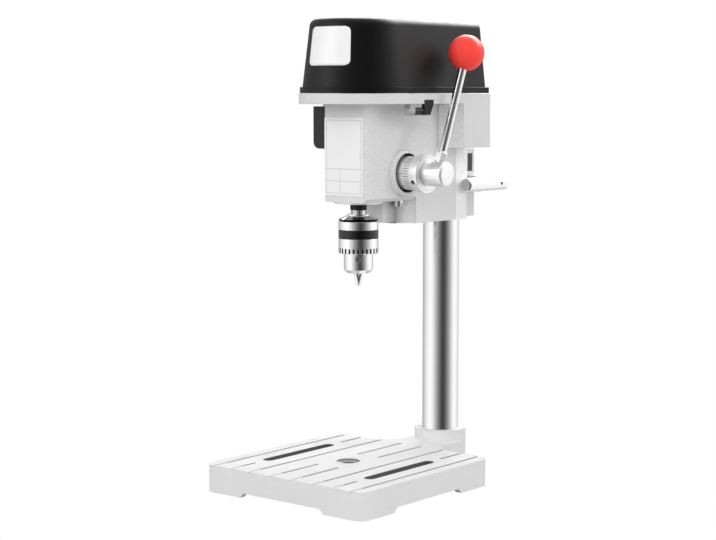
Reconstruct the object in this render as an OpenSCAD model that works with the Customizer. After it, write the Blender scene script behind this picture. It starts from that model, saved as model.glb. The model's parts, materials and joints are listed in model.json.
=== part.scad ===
// Mini bench drill press: square slotted table, round column, lever-fed quill and a belt drive under a cover.
// Millimetres. The origin is on the column axis at ground level, +Z up, the front of the machine is -Y.

/* [Base] */
// Width of the table
base_w = 170; // [150:1:200]
// Depth of the table
base_d = 170; // [150:1:200]
// Height of the table top above the ground
base_h = 23; // [20:0.5:32]
// Radius of the table's upright corners
base_corner_r = 9; // [7:0.5:14]
// Wall of the hollow casting
base_wall = 6; // [4:0.5:6.5]
// Thickness of the table's deck
deck_t = 8; // [6:0.5:10]
// Length of each corner foot along an edge
foot_len = 40; // [30:1:50]
// Height of the arches between the feet
arch_h = 4; // [2:0.5:5]
// Column axis to the middle of the table
table_reach = 128.5; // [122:0.5:135]
// Width of the two clamping slots
slot_w = 10; // [8:0.5:12]
// Overall length of the clamping slots
slot_len = 87; // [70:1:100]
// Distance of each slot from the middle
slot_x = 55; // [50:0.5:60]
// Width of the table grooves
groove_w = 3; // [2:0.5:4]
// Depth of the table grooves
groove_d = 2; // [1:0.5:3]
// Diameter of the centre hole
table_hole_d = 12; // [10:0.5:14]
// Diameter of the shallow recess round the centre hole
table_recess_d = 20; // [17:0.5:24]
// Depth of that recess
table_recess_h = 2; // [1:0.5:3]
// Width of the neck that carries the column boss
neck_w = 46; // [40:1:50]
// Radius of the fillets beside the neck
neck_fillet_r = 23; // [15:1:28]
// Diameter of the column boss
boss_d = 45.5; // [42:0.5:50]
// Height of the column boss
boss_h = 33; // [28:0.5:40]

/* [Column] */
// Diameter of the column
column_d = 32; // [30:0.5:34]
// Wall of the column tube
column_wall = 3; // [2:0.5:4]
// Height of the column's top above the ground
column_top = 266; // [255:1:272]
// Floor left under the column in the boss
socket_floor = 4; // [2:0.5:8]

/* [Head] */
// Width of the head casting
head_w = 45; // [43:0.5:48]
// Column axis to the head's front face
head_front = 134; // [132:0.5:138]
// Column axis to the spindle axis
spindle_reach = 115; // [113.5:0.5:117]
// Height of the body's underside
head_bottom = 240.5; // [238.5:0.5:242]
// Height of the head's top face, where the tray sits
head_top = 321.6; // [319:0.2:324]
// Height of the quill boss below the body
quill_boss_h = 1.5; // [1:0.5:3]
// Diameter of the quill boss
quill_boss_d = 40; // [37:0.5:42]
// Height of the clamp block's lower end
clamp_bottom = 220.5; // [217:0.5:222]
// Column axis to the clamp block's front
clamp_front = 65.5; // [55:0.5:70]
// Height of the web's lower edge at its front
web_front_z = 222; // [221:0.5:226]
// Width of the web under the body
web_w = 20; // [14:1:28]
// Thickness of the clamp ears together
ear_w = 18; // [14:0.5:20]
// Column axis to the ears' rear end
ear_reach = 37; // [34:0.5:40]
// Height of the ears' lower end
ear_bottom = 221; // [219:0.5:224]
// Height of the ears' top
ear_top = 281; // [278:0.5:284]
// Width of the clamp slit
slit_w = 3; // [2:0.5:3.5]
// Thickness of the flange under the tray
flange_t = 2; // [1.5:0.5:3]
// Overhang of that flange
flange_out = 1.2; // [0.8:0.2:1.6]
// Width of the bare plate on the front
plate_w = 41; // [34:0.5:42]
// Height of the bare plate
plate_h = 64.5; // [56:0.5:70]
// Thickness of the bare plate
plate_t = 0.5; // [0.3:0.1:1]
// Height of the plate's lower edge above the body's underside
plate_up = 5.5; // [4:0.5:8]

/* [Quill and feed] */
// Diameter of the quill
quill_d = 30; // [29:0.5:31]
// Length of the quill
quill_len = 78; // [74:1:80]
// Travel of the quill
quill_travel = 30; // [25:1:30]
// Diameter of the spindle
spindle_d = 10; // [9:0.5:10]
// Tooth module of rack and pinion
tooth_module = 1; // [0.9:0.05:1.05]
// Number of pinion teeth
pinion_teeth = 36; // [34:1:37]
// Width of the pinion
pinion_w = 11; // [8:0.5:12]
// Diameter of the pinion shaft
feed_shaft_d = 12; // [10:0.5:13]
// Height of the feed axis
feed_z = 264; // [262.5:0.5:265]
// Diameter of the ring boss round the dial
feed_boss_d = 40; // [37:0.5:42]
// Height of the ring boss
feed_boss_h = 4.8; // [3.6:0.2:6]
// Diameter of the recess the dial runs in
feed_recess_d = 33; // [32:0.5:34]
// Depth of that recess below the head's side
feed_recess_h = 4; // [2:0.5:6]
// Diameter of the dial's scale
scale_d = 28.4; // [27:0.2:29]
// Diameter of the depth dial
dial_d = 30.6; // [29:0.2:31]
// Length of the depth dial
dial_len = 29; // [26:0.5:31]
// Diameter of the lever hub
hub_d = 20.4; // [19:0.2:24]
// Length of the lever hub
hub_len = 20.6; // [18:0.2:22]
// Diameter of the lever rod
lever_d = 7; // [6:0.5:8]
// Hub axis to the middle of the ball
lever_len = 104.6; // [95:0.1:120]
// Lean of the lever towards the column at rest
lever_lean = 17.2; // [10:0.2:25]
// Lean of the lever away from the head
lever_out = 3.6; // [1.6:0.2:4]
// Diameter of the ball knob
ball_d = 30; // [26:0.5:30]

/* [Chuck] */
// Diameter of the chuck sleeve
sleeve_d = 33.5; // [32:0.5:36]
// Length of the chuck sleeve
sleeve_len = 27.3; // [26:0.1:30]
// Diameter of the chuck's nose
nose_d = 24.5; // [23.5:0.5:25]
// Length of the nose below the sleeve
nose_len = 13.7; // [12:0.1:16]
// Diameter of each jaw
jaw_d = 5; // [4:0.5:5.5]
// Slant of the jaws from the spindle axis
jaw_slant = 15; // [13:0.5:16]
// How far the closed jaws stand out of the nose
jaw_out = 11; // [9:0.5:13]
// Travel of each jaw along its own axis
jaw_travel = 9; // [6:0.5:9]

/* [Belt drive] */
// Half width of the belt tray and radius of its round front
tray_r = 49.5; // [48:0.5:50]
// Column axis to the tray's rear end
tray_rear = 4; // [1:0.5:6]
// Height of the tray's wall above the head
tray_h = 8.6; // [7:0.1:11]
// Wall of the tray and of the rear box
tray_wall = 3; // [2:0.5:3.5]
// Floor of the tray
tray_floor = 3.4; // [2.5:0.1:4.5]
// Depth of the rear box below the tray
box_h = 37.6; // [32:0.2:40]
// Column axis to the rear box's front
box_front = 35; // [31:0.5:40]
// Column axis to the motor axis
motor_reach = 43; // [42:0.5:44]
// Diameter of the motor can
motor_d = 36; // [32:0.5:36.5]
// Length of the motor can
motor_len = 58; // [50:1:60]
// Largest belt radius on the spindle pulley
belt_r_max = 25; // [23:0.5:27]
// Smallest belt radius on the motor pulley
belt_r_min = 13; // [12:0.5:14]
// Change of belt radius from step to step
belt_step = 4; // [3:0.5:5]
// Height of each pulley step
pulley_step_h = 9; // [8:0.5:9.5]
// Width of the belt
belt_w = 5; // [4:0.5:5.5]
// Thickness of the belt
belt_t = 4; // [3:0.5:4.5]

/* [Belt cover] */
// Half width of the cover's lip
lip_r = 48.6; // [47:0.2:48.8]
// Height of the lip
lip_h = 5; // [3:0.5:7]
// Half width of the cover above the lip
cover_r_low = 46.4; // [45:0.2:46.6]
// Half width of the cover below its rounded top edge
cover_r_high = 40.5; // [39:0.5:43]
// Height of the belt cover
cover_h = 60.6; // [58:0.2:70]
// Radius of the cover's top edge
cover_edge_r = 6; // [4:0.5:8]
// Wall of the cover
cover_wall = 2.5; // [2:0.1:3]
// Column axis to the cover's rear wall
cover_rear = 0.5; // [-2:0.5:2]

/* [Clamp bar and switch] */
// Diameter of the clamp bar
bar_d = 12; // [10:0.5:12]
// Length of the clamp bar
bar_len = 59; // [52:1:62]
// Column axis to the clamp screw
clamp_reach = 25; // [24.5:0.5:26.5]
// Height of the clamp screw
clamp_z = 250.6; // [249:0.2:252]
// Diameter of the clamp screw
clamp_screw_d = 8; // [6:0.5:8]
// How far the switch box stands off the head
switch_t = 21; // [18:0.5:24]
// Length of the switch box along the head
switch_len = 42; // [36:1:46]
// Column axis to the switch box's front
switch_front = 122; // [119:0.5:124]

/* [Hidden] */
$fn = 64;

// Clearances
run_gap = 0.05;
still_gap = 0.02;
seat_gap = 0.2;
cut = 1;

// Colours
cast_grey = [0.80, 0.80, 0.80];
steel = [0.75, 0.75, 0.77];
black = [0.12, 0.12, 0.13];
brass = [0.78, 0.62, 0.32];

// Places along the machine
table_y = -table_reach;
table_front_y = table_y - base_d / 2;
table_rear_y = table_y + base_d / 2;
spindle_y = -spindle_reach;
motor_y = -motor_reach;
head_side = head_w / 2;

// Rack and pinion: the rack's tips lie on the quill's surface
pinion_r = tooth_module * pinion_teeth / 2;
pinion_tip_r = pinion_r + tooth_module;
tooth_root = 1.25 * tooth_module;
rack_line = quill_d / 2 - tooth_module;
feed_y = spindle_y + rack_line + pinion_r;
pressure_angle = 20;
backlash = 0.16;
rack_pitch = PI * tooth_module;

// Levels of quill, spindle and chuck
quill_bottom = head_bottom - quill_boss_h;
quill_top = quill_bottom + quill_len;
bearing_d = 22;
bearing_h = 6;
collar_top = quill_bottom - 0.5;
collar_h = 5;
collar_d = 13.4;
chuck_neck_h = 3.5;
chuck_neck_d = 12.4;
chuck_cone_h = 5;
chuck_top = collar_top - collar_h;
chuck_cone_top = chuck_top - chuck_neck_h;
chuck_flange_z = chuck_cone_top - chuck_cone_h;
sleeve_top = chuck_flange_z - seat_gap;
sleeve_bottom = sleeve_top - sleeve_len;
nose_bottom = sleeve_bottom - nose_len;
nose_chamfer = 2.9;
nose_end = nose_bottom - nose_chamfer;
jaw_tip = nose_end - jaw_out;
jaw_tip_r = 1.5;
jaw_len = 33;
jaw_gap = 0.15;
lip_in_h = 4.5;
groove_floor_r = 9;
sleeve_bore_r = nose_d / 2 + 1.8;
nut_bottom = sleeve_bottom + lip_in_h + seat_gap;
nut_h = 6.5;
nut_top = nut_bottom + nut_h;
band_h = 7.5;
band_t = 0.6;
band_bottom = sleeve_bottom + 12.4;
key_hole_d = 5.5;
first_jaw = 10;
spindle_low = nut_top + 1;

// Levels of the belt drive
tray_bottom = head_top;
floor_top = tray_bottom + tray_floor;
tray_top = tray_bottom + tray_h;
cover_bottom = tray_top + seat_gap;
cover_top = cover_bottom + cover_h;
box_bottom = tray_bottom - box_h;
housing_lugs = [30, 150, 270];
housing_lug_r = spindle_d * 0.42;
housing_lug_reach = spindle_d * 2;
housing_flange_t = spindle_d * 0.4;
housing_d = spindle_d * 3.2;
housing_top = floor_top + spindle_d * 1.7;
drive_sleeve_d = spindle_d * 1.5;
pulley_bearing_d = spindle_d * 2.4;
pulley_bearing_h = spindle_d * 0.5;
pulley_bottom = housing_top + spindle_d * 0.4;
pulley_steps = 3;
pulley_top = pulley_bottom + pulley_steps * pulley_step_h;
belt_seat = 0.3;
flat_w = spindle_d * 0.8;
spindle_top = cover_top - cover_wall - 4;
motor_shaft_d = 5;
motor_top = tray_bottom;
motor_bottom = motor_top - motor_len;
bell_h = 6;
bell_floor = 2;
bell_spigot_h = 3.5;
can_wall = 2;
grub_d = 4;
pocket_gap = 0.5;
motor_screw_x = 11;

// Places along the feed axis
feed_floor_x = head_side - feed_recess_h;
dial_x = feed_floor_x + 0.3;
hub_x = dial_x + dial_len + 0.3;
hub_end_x = hub_x + hub_len;
lever_x = hub_x + hub_len * 0.47;
lever_foot = feed_shaft_d / 2 + 0.7;
flats_x = hub_x - cut;
flats_len = hub_len * 0.66 + cut;
flats_w = hub_d * 0.94;
flats_turn = 44;
hub_edge_r = 2.5;
dial_screw_d = 4;
dial_screw_turn = 117;
bush_d = 18;
cap_d = 33;
cap_h = 12;
cap_ear_off = cap_d / 2 + 3.2;
cap_ear_d = 9;
cap_ear_t = 3;
cap_wall = 2;
spring_w = 6;

// Small parts
screw_d = 4;
screw_head_d = 7;
screw_head_h = 2.4;
small_screw_d = 3;
small_head_d = 5.5;
tray_screw_x = 16.8;
tray_screw_front = spindle_y - 13.6;
tray_screw_rear = feed_y + 17;
under_screw_x = head_side - 7.5;
under_screw_y = feed_y + 2.4;
under_screw_len = feed_z - bush_d / 2 - head_bottom;
latch_pin_d = 4;
latch_x = tray_r - 3.5;
latch_z = tray_bottom - 6;
latch_r = 3.1;
lug_front = spindle_y + 7;
lug_len = 6.5;
latch_foot_len = 20;
latch_upright_len = 12.5;
latch_upright_t = 3;
latch_top = tray_bottom + 2.8;
latch_slant = 4.4;
bar_x = head_side + bar_d / 2 + 1;
bar_hole_in = bar_d * 0.3;
bar_seat = 0.5;
clamp_nut_h = 6.5;
clamp_collar_d = clamp_screw_d + 6;
clamp_face_d = clamp_screw_d * 1.9 + 1.2;
switch_bottom = feed_z + cap_d / 2 + 3.5;
switch_wall = 2;
cord_d = 6;
wiring_w = (tray_r - head_side) * 0.44;
rocker_len = 20;
rocker_h = 12;
rocker_pin_d = 2;
rocker_z = (switch_bottom + tray_bottom) / 2;
rocker_y = -switch_front + switch_len / 2;
rocker_x = -head_side - switch_t + switch_wall;

module pan_screw(d, head_d, head_h, len) {
  cylinder(d = head_d, h = head_h);
  translate([0, 0, -len]) cylinder(d = d, h = len + head_h / 2);
}

module slotted_pan_screw(d, head_d, head_h, len) {
  difference() {
    pan_screw(d, head_d, head_h, len);
    translate([-head_d, -head_d * 0.08, head_h * 0.5]) cube([2 * head_d, head_d * 0.16, head_h]);
  }
}

module ring(outer_d, inner_d, h) {
  difference() {
    cylinder(d = outer_d, h = h);
    translate([0, 0, -cut]) cylinder(d = inner_d, h = h + 2 * cut);
  }
}

module rounded_rect(w, d, r) {
  square([w - 2 * r, d], center = true);
  square([w, d - 2 * r], center = true);
  for (sx = [-1, 1], sy = [-1, 1]) translate([sx * (w / 2 - r), sy * (d / 2 - r)]) circle(r);
}

// Turns a shape made along +Z so that it runs along +X
module along_x(x, y, z) translate([x, y, z]) rotate([0, 90, 0]) children();

// Turns a shape made along +Z so that it runs along +Y
module along_y(x, y, z) translate([x, y, z]) rotate([-90, 0, 0]) children();

// Base

module foot_arch(span, depth) {
  end = arch_h;
  rotate([90, 0, 0]) linear_extrude(depth, center = true)
    polygon([[-span / 2, -cut], [span / 2, -cut], [span / 2, 0], [span / 2 - end, arch_h],
      [-span / 2 + end, arch_h], [-span / 2, 0]]);
}

module table_groove(x, y0, y1) {
  translate([x - groove_w / 2, y0, base_h - groove_d]) cube([groove_w, y1 - y0, groove_d + cut]);
}

module table_slot(x) {
  run = slot_len - slot_w;
  translate([x, table_y, base_h - deck_t - cut]) {
    translate([-slot_w / 2, -run / 2, 0]) cube([slot_w, run, deck_t + 2 * cut]);
    for (s = [-1, 1]) translate([0, s * run / 2, 0]) cylinder(d = slot_w, h = deck_t + 2 * cut);
  }
}

module table_block() {
  rib_x = slot_x - 25;
  rib_w = 5;
  hole_boss_d = table_recess_d + 14;
  difference() {
    linear_extrude(base_h) rounded_rect(base_w, base_d, base_corner_r);
    difference() {
      translate([0, 0, -cut]) linear_extrude(base_h - deck_t + cut)
        rounded_rect(base_w - 2 * base_wall, base_d - 2 * base_wall, base_corner_r - base_wall);
      for (s = [-1, 1]) translate([s * rib_x - rib_w / 2, -base_d / 2, arch_h + 1])
        cube([rib_w, base_d, base_h]);
      translate([0, 0, arch_h + 2]) cylinder(d = hole_boss_d, h = base_h);
    }
    foot_arch(base_w - 2 * foot_len, base_d + cut);
    rotate([0, 0, 90]) foot_arch(base_d - 2 * foot_len, base_w + cut);
  }
}

module column_neck() {
  translate([-neck_w / 2, table_rear_y - base_wall, 0]) cube([neck_w, base_wall - table_rear_y, base_h]);
  for (s = [-1, 1]) translate([s * (neck_w / 2 + neck_fillet_r), table_rear_y + neck_fillet_r, 0])
    linear_extrude(base_h) difference() {
      translate([-(s + 1) / 2 * neck_fillet_r, -neck_fillet_r]) square(neck_fillet_r);
      circle(neck_fillet_r);
    }
}

module base_plate() color(cast_grey) difference() {
  groove_xs = [11, 34.5, slot_x, 74];
  hole_clear = table_recess_d / 2 + 16;
  slot_clear = slot_len / 2 + 12;
  union() {
    translate([0, table_y, 0]) table_block();
    column_neck();
    cylinder(d = boss_d, h = boss_h);
  }
  translate([0, 0, socket_floor]) cylinder(d = column_d + 2 * run_gap, h = boss_h);
  along_y(0, 0, boss_h - 9) cylinder(d = 6 + 2 * still_gap, h = boss_d);
  translate([0, table_y, -cut]) cylinder(d = table_hole_d, h = base_h + 2 * cut);
  translate([0, table_y, base_h - table_recess_h]) cylinder(d = table_recess_d, h = table_recess_h + cut);
  for (s = [-1, 1]) {
    table_slot(s * slot_x);
    table_groove(s * groove_xs[1], table_front_y - cut, table_rear_y + cut);
    table_groove(s * groove_xs[3], table_front_y - cut, table_rear_y + cut);
    table_groove(s * groove_xs[0], table_front_y - cut, table_y - hole_clear);
    table_groove(s * groove_xs[0], table_y + hole_clear, table_rear_y + cut);
    table_groove(s * groove_xs[2], table_front_y - cut, table_y - slot_clear);
    table_groove(s * groove_xs[2], table_y + slot_clear, table_rear_y + cut);
  }
}

module column_set_screw() color(black) {
  reach = column_d / 2 + seat_gap;
  difference() {
    along_y(0, reach, boss_h - 9) cylinder(d = 6, h = boss_d / 2 - reach);
    along_y(0, boss_d / 2 - 3, boss_h - 9) cylinder(d = 3.4, h = 4, $fn = 6);
  }
}

// Column

module column() color(steel)
  translate([0, 0, socket_floor]) ring(column_d, column_d - 2 * column_wall, column_top - socket_floor);

module column_plug() color(black) {
  translate([0, 0, column_top]) cylinder(d = column_d - 2, h = 2);
  translate([0, 0, column_top - 12]) cylinder(d = column_d - 2 * column_wall - 2 * still_gap, h = 13);
}

// Head

module head_plan(grow) {
  corner = 4;
  front = head_front + grow;
  width = head_w + 2 * grow;
  translate([-width / 2, -front + corner]) square([width, front - corner]);
  translate([-width / 2 + corner, -front]) square([width - 2 * corner, front]);
  for (s = [-1, 1]) translate([s * (width / 2 - corner), -front + corner]) circle(corner);
  circle(d = width);
}

module lower_chamfer(side) {
  size = 3;
  run = head_front - clamp_front;
  translate([side * head_side, -clamp_front, head_bottom]) rotate([90, 0, 0]) linear_extrude(run + cut)
    polygon([[-side * size, 0], [0, size], [side * cut, size], [side * cut, 0]]);
}

module head_solid() {
  translate([0, 0, head_bottom]) linear_extrude(head_top - head_bottom) head_plan(0);
  translate([0, 0, head_top - flange_t]) linear_extrude(flange_t) head_plan(flange_out);
  translate([0, spindle_y, quill_bottom]) cylinder(d = quill_boss_d, h = quill_boss_h + cut);
  web();
  clamp_block();
  translate([-ear_w / 2, 0, ear_bottom]) cube([ear_w, ear_reach, ear_top - ear_bottom]);
  along_x(head_side, feed_y, feed_z) feed_ring();
}

// Web under the body, lower towards the column
module web() {
  front = spindle_y + quill_boss_d / 2 + cut;
  rotate([90, 0, 90]) linear_extrude(web_w, center = true) polygon([
    [front, web_front_z], [-clamp_front, clamp_bottom + cut], [0, clamp_bottom + cut],
    [0, head_bottom + cut], [front, head_bottom + cut]]);
}

// Block round the column, as wide as the body, with hollow corners where the web meets it
module clamp_block() {
  corner_r = head_side - web_w / 2;
  translate([0, 0, clamp_bottom]) linear_extrude(head_bottom - clamp_bottom + cut) {
    circle(d = head_w);
    translate([-head_side, -clamp_front]) square([head_w, clamp_front]);
    difference() {
      translate([-head_side, -clamp_front - corner_r]) square([head_w, corner_r + cut]);
      for (s = [-1, 1]) translate([s * head_side, -clamp_front - corner_r]) circle(corner_r);
    }
  }
}

// Ring boss with a rounded outer edge
module feed_ring() {
  base_r = feed_boss_d / 2;
  rim_r = feed_recess_d / 2 + 0.7;
  round_w = base_r - rim_r;
  straight = feed_boss_h - round_w;
  rotate_extrude() polygon(concat(
    [[0, -cut], [base_r, -cut]],
    [for (a = [0:15:90]) [rim_r + round_w * cos(a), straight + round_w * sin(a)]],
    [[0, feed_boss_h]]));
}

module head_cavities() {
  chamber_r = pinion_tip_r + 0.6;
  chamber_w = pinion_w + 2;
  pocket_floor = motor_bottom - bell_h - 1;
  column_roof = 3;
  slit_over = 2;
  translate([0, spindle_y, quill_bottom - cut]) cylinder(d = quill_d + 2 * run_gap, h = head_top);
  translate([-chamber_w / 2, feed_y - chamber_r, feed_z - chamber_r])
    cube([chamber_w, 2 * chamber_r, head_top - feed_z + chamber_r + cut]);
  translate([0, motor_y, pocket_floor])
    cylinder(d = motor_d + 2 * pocket_gap, h = head_top - pocket_floor + cut);
  translate([0, 0, clamp_bottom - cut])
    cylinder(d = column_d + 2 * run_gap, h = head_top - column_roof - clamp_bottom + cut);
  translate([-slit_w / 2, 0, clamp_bottom - cut])
    cube([slit_w, ear_reach + cut, ear_top + slit_over - clamp_bottom + cut]);
}

module head_holes() {
  window_w = 7.5;
  window_y = ear_reach - 2.7 - window_w;
  window_z = clamp_z + 10.5;
  along_x(-head_side - cut, feed_y, feed_z)
    cylinder(d = bush_d + 2 * still_gap, h = 2 * head_side + feed_boss_h + 2 * cut);
  along_x(feed_floor_x, feed_y, feed_z) cylinder(d = feed_recess_d, h = feed_recess_h + feed_boss_h + cut);
  along_x(-ear_w, clamp_reach, clamp_z) cylinder(d = clamp_screw_d + 2 * run_gap, h = 2 * ear_w);
  for (s = [0, 1]) mirror([s, 0, 0]) along_x(ear_w / 2, clamp_reach, clamp_z)
    cylinder(d = clamp_face_d, h = head_side);
  translate([slit_w / 2 - cut, window_y, window_z]) cube([ear_w, window_w, 16]);
  for (s = [-1, 1], y = [tray_screw_front, tray_screw_rear]) translate([s * tray_screw_x, y, head_top - 13])
    cylinder(d = screw_d + 2 * still_gap, h = 14);
  translate([under_screw_x, under_screw_y, head_bottom - cut])
    cylinder(d = screw_d + 2 * still_gap, h = under_screw_len + cut + 0.5);
  for (s = [-1, 1]) along_x(-head_side - cut, feed_y + s * cap_ear_off, feed_z)
    cylinder(d = small_screw_d + 2 * still_gap, h = 8 + cut);
}

module head_casting() color(cast_grey) difference() {
  head_solid();
  head_cavities();
  head_holes();
  for (s = [-1, 1]) lower_chamfer(s);
}

module nameplate() color([0.9, 0.9, 0.9])
  translate([-plate_w / 2, -head_front - plate_t, head_bottom + plate_up]) cube([plate_w, plate_t, plate_h]);

// Belt tray with the rear box

module tray_plan(inset) {
  r = tray_r - inset;
  translate([0, spindle_y]) circle(r, $fn = 128);
  translate([-r, spindle_y]) square([2 * r, spindle_reach + tray_rear - inset]);
}

module rear_box_plan(inset) {
  inner = head_side + seat_gap;
  translate([inner + inset, -box_front + inset])
    square([tray_r - inner - 2 * inset, box_front + tray_rear - 2 * inset]);
}

module latch_lug() {
  along_y(latch_x, lug_front, latch_z) cylinder(r = latch_r + 0.4, h = lug_len);
  translate([latch_x - latch_r, lug_front, latch_z])
    cube([2 * latch_r, lug_len, tray_bottom - latch_z + cut]);
}

module belt_tray() color(cast_grey) difference() {
  notch_front = lug_front + lug_len + latch_foot_len - 8;
  union() {
    translate([0, 0, tray_bottom]) linear_extrude(tray_h) tray_plan(0);
    for (s = [0, 1]) mirror([s, 0, 0]) translate([0, 0, box_bottom])
      linear_extrude(tray_bottom - box_bottom + cut) rear_box_plan(0);
    latch_lug();
  }
  translate([0, 0, floor_top]) linear_extrude(tray_h) tray_plan(tray_wall);
  for (s = [0, 1]) mirror([s, 0, 0]) translate([0, 0, box_bottom + tray_wall])
    linear_extrude(tray_bottom + tray_h - box_bottom) rear_box_plan(tray_wall);
  for (s = [0, 1]) mirror([s, 0, 0])
    translate([head_side, -box_front - cut, tray_bottom - flange_t - seat_gap])
      cube([flange_out + seat_gap, box_front + tray_rear, flange_t + seat_gap]);
  translate([0, spindle_y, tray_bottom - cut])
    cylinder(d = housing_d + 2 * still_gap, h = tray_floor + 2 * cut);
  translate([0, motor_y, tray_bottom - cut]) cylinder(d = motor_shaft_d + 6, h = tray_floor + 2 * cut);
  for (s = [-1, 1]) translate([s * motor_screw_x, motor_y, tray_bottom - cut])
    cylinder(d = small_screw_d + 2 * still_gap, h = tray_floor + 2 * cut);
  for (s = [-1, 1], y = [tray_screw_front, tray_screw_rear])
    translate([s * tray_screw_x, y, tray_bottom - cut])
      cylinder(d = screw_d + 2 * still_gap, h = tray_floor + 2 * cut);
  along_y(latch_x, lug_front - cut, latch_z) cylinder(d = latch_pin_d + 2 * still_gap, h = lug_len + 2 * cut);
  translate([tray_r - tray_wall - cut, notch_front - seat_gap, tray_bottom - cut])
    cube([tray_wall + 2 * cut, latch_upright_len + 2 * seat_gap,
      latch_top - tray_bottom + cut + 3 * seat_gap]);
  along_y(-(head_side + tray_r) / 2, tray_rear - tray_wall - cut, (box_bottom + tray_bottom) / 2)
    cylinder(d = 10 + 2 * still_gap, h = tray_wall + 2 * cut);
}

module tray_screws() color(steel)
  for (s = [-1, 1], y = [tray_screw_front, tray_screw_rear]) translate([s * tray_screw_x, y, floor_top])
    slotted_pan_screw(screw_d, screw_head_d, screw_head_h, tray_floor * 4);

// Bearing housing of the spindle pulley

module bearing_housing() color(steel) difference() {
  union() {
    translate([0, spindle_y, tray_bottom]) cylinder(d = housing_d, h = housing_top - tray_bottom);
    for (a = housing_lugs) translate([0, spindle_y, floor_top]) rotate([0, 0, a]) {
      translate([0, -housing_lug_r, 0]) cube([housing_lug_reach, 2 * housing_lug_r, housing_flange_t]);
      translate([housing_lug_reach, 0, 0]) cylinder(r = housing_lug_r, h = housing_flange_t);
    }
  }
  translate([0, spindle_y, tray_bottom - cut]) cylinder(d = drive_sleeve_d + 2, h = housing_top);
  for (z = [tray_bottom - cut, housing_top - pulley_bearing_h]) translate([0, spindle_y, z])
    cylinder(d = pulley_bearing_d + 2 * still_gap, h = pulley_bearing_h + cut);
  housing_screw_places() translate([0, 0, -housing_flange_t - cut])
    cylinder(d = small_screw_d + 2 * still_gap, h = housing_flange_t + 2 * cut);
}

module housing_screw_places() for (a = housing_lugs)
  translate([0, spindle_y, floor_top + housing_flange_t]) rotate([0, 0, a])
    translate([housing_lug_reach, 0, 0]) children();

module housing_screws() color(steel)
  housing_screw_places() slotted_pan_screw(small_screw_d, small_head_d, 2, housing_flange_t);

module pulley_bearings() color(steel)
  for (z = [tray_bottom, housing_top - pulley_bearing_h]) translate([0, spindle_y, z])
    ring(pulley_bearing_d, drive_sleeve_d + 2 * run_gap, pulley_bearing_h);

// Stepped pulleys and belt

// One step of a pulley: two rims with a belt groove between them
module pulley_step(groove_r) {
  rim_r = groove_r + belt_t * 0.8;
  groove_w = belt_w + 2 * belt_seat;
  rim_h = (pulley_step_h - groove_w) / 2;
  rotate_extrude() polygon([[0, 0], [rim_r, 0], [rim_r, rim_h], [groove_r - belt_seat, rim_h],
    [groove_r - belt_seat, rim_h + groove_w], [rim_r, rim_h + groove_w], [rim_r, pulley_step_h],
    [0, pulley_step_h]]);
}

function spindle_belt_r(i) = belt_r_max - i * belt_step;
function motor_belt_r(i) = belt_r_min + i * belt_step;

module spindle_pulley() color(steel) difference() {
  for (i = [0:pulley_steps - 1]) translate([0, spindle_y, pulley_bottom + i * pulley_step_h])
    pulley_step(spindle_belt_r(i));
  translate([0, spindle_y, pulley_bottom - cut])
    cylinder(d = drive_sleeve_d + 2 * still_gap, h = pulley_top - pulley_bottom + 2 * cut);
  along_y(0, spindle_y - belt_r_max, pulley_top - pulley_step_h / 2)
    cylinder(d = grub_d + 2 * still_gap, h = belt_r_max);
}

module drive_sleeve() color(steel) difference() {
  translate([0, spindle_y, tray_bottom]) cylinder(d = drive_sleeve_d, h = pulley_top - tray_bottom);
  translate([0, spindle_y, tray_bottom - cut]) linear_extrude(pulley_top - tray_bottom + 2 * cut)
    drive_section(2 * run_gap);
}

// Round shaft with two flats
module drive_section(gap) intersection() {
  circle(d = spindle_d + gap);
  square([spindle_d + gap + cut, flat_w + gap], center = true);
}

module pulley_grub_screw() color(black) {
  groove_r = spindle_belt_r(pulley_steps - 1) - belt_seat;
  along_y(0, spindle_y - groove_r + 0.5, pulley_top - pulley_step_h / 2)
    cylinder(d = grub_d, h = groove_r - 0.5 - drive_sleeve_d / 2 - still_gap);
}

// Outline of the belt loop, grown from the belt's inner line
module belt_loop(grow) {
  r1 = spindle_belt_r(1) + grow;
  r2 = motor_belt_r(1) + grow;
  span = motor_y - spindle_y;
  tilt = acos((r1 - r2) / span);
  translate([0, spindle_y]) circle(r1, $fn = 96);
  translate([0, motor_y]) circle(r2, $fn = 96);
  polygon([
    [r1 * sin(tilt), spindle_y + r1 * cos(tilt)], [r2 * sin(tilt), motor_y + r2 * cos(tilt)],
    [-r2 * sin(tilt), motor_y + r2 * cos(tilt)], [-r1 * sin(tilt), spindle_y + r1 * cos(tilt)]]);
}

module drive_belt() color(black)
  translate([0, 0, pulley_bottom + 1.5 * pulley_step_h - belt_w / 2]) linear_extrude(belt_w) difference() {
    belt_loop(belt_t);
    belt_loop(0);
  }

// Motor

module motor_can() color(steel) difference() {
  cap_t = 3;
  translate([0, motor_y, motor_bottom]) cylinder(d = motor_d, h = motor_len);
  translate([0, motor_y, motor_bottom - cut])
    cylinder(d = motor_d - 2 * can_wall, h = motor_len - cap_t + cut);
  translate([0, motor_y, motor_bottom]) cylinder(d = motor_shaft_d + 2 * run_gap, h = motor_len + cut);
  for (s = [-1, 1]) translate([s * motor_screw_x, motor_y, motor_top - 4])
    cylinder(d = small_screw_d + 2 * still_gap, h = 4 + cut);
}

module motor_end_bell() color(black) difference() {
  union() {
    translate([0, motor_y, motor_bottom - bell_h]) cylinder(d = motor_d, h = bell_h);
    translate([0, motor_y, motor_bottom - cut])
      cylinder(d = motor_d - 2 * can_wall - 2 * still_gap, h = bell_spigot_h + cut);
  }
  translate([0, motor_y, motor_bottom - bell_h + bell_floor])
    cylinder(d = motor_shaft_d + 2 * run_gap, h = bell_h + bell_spigot_h);
}

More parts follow.
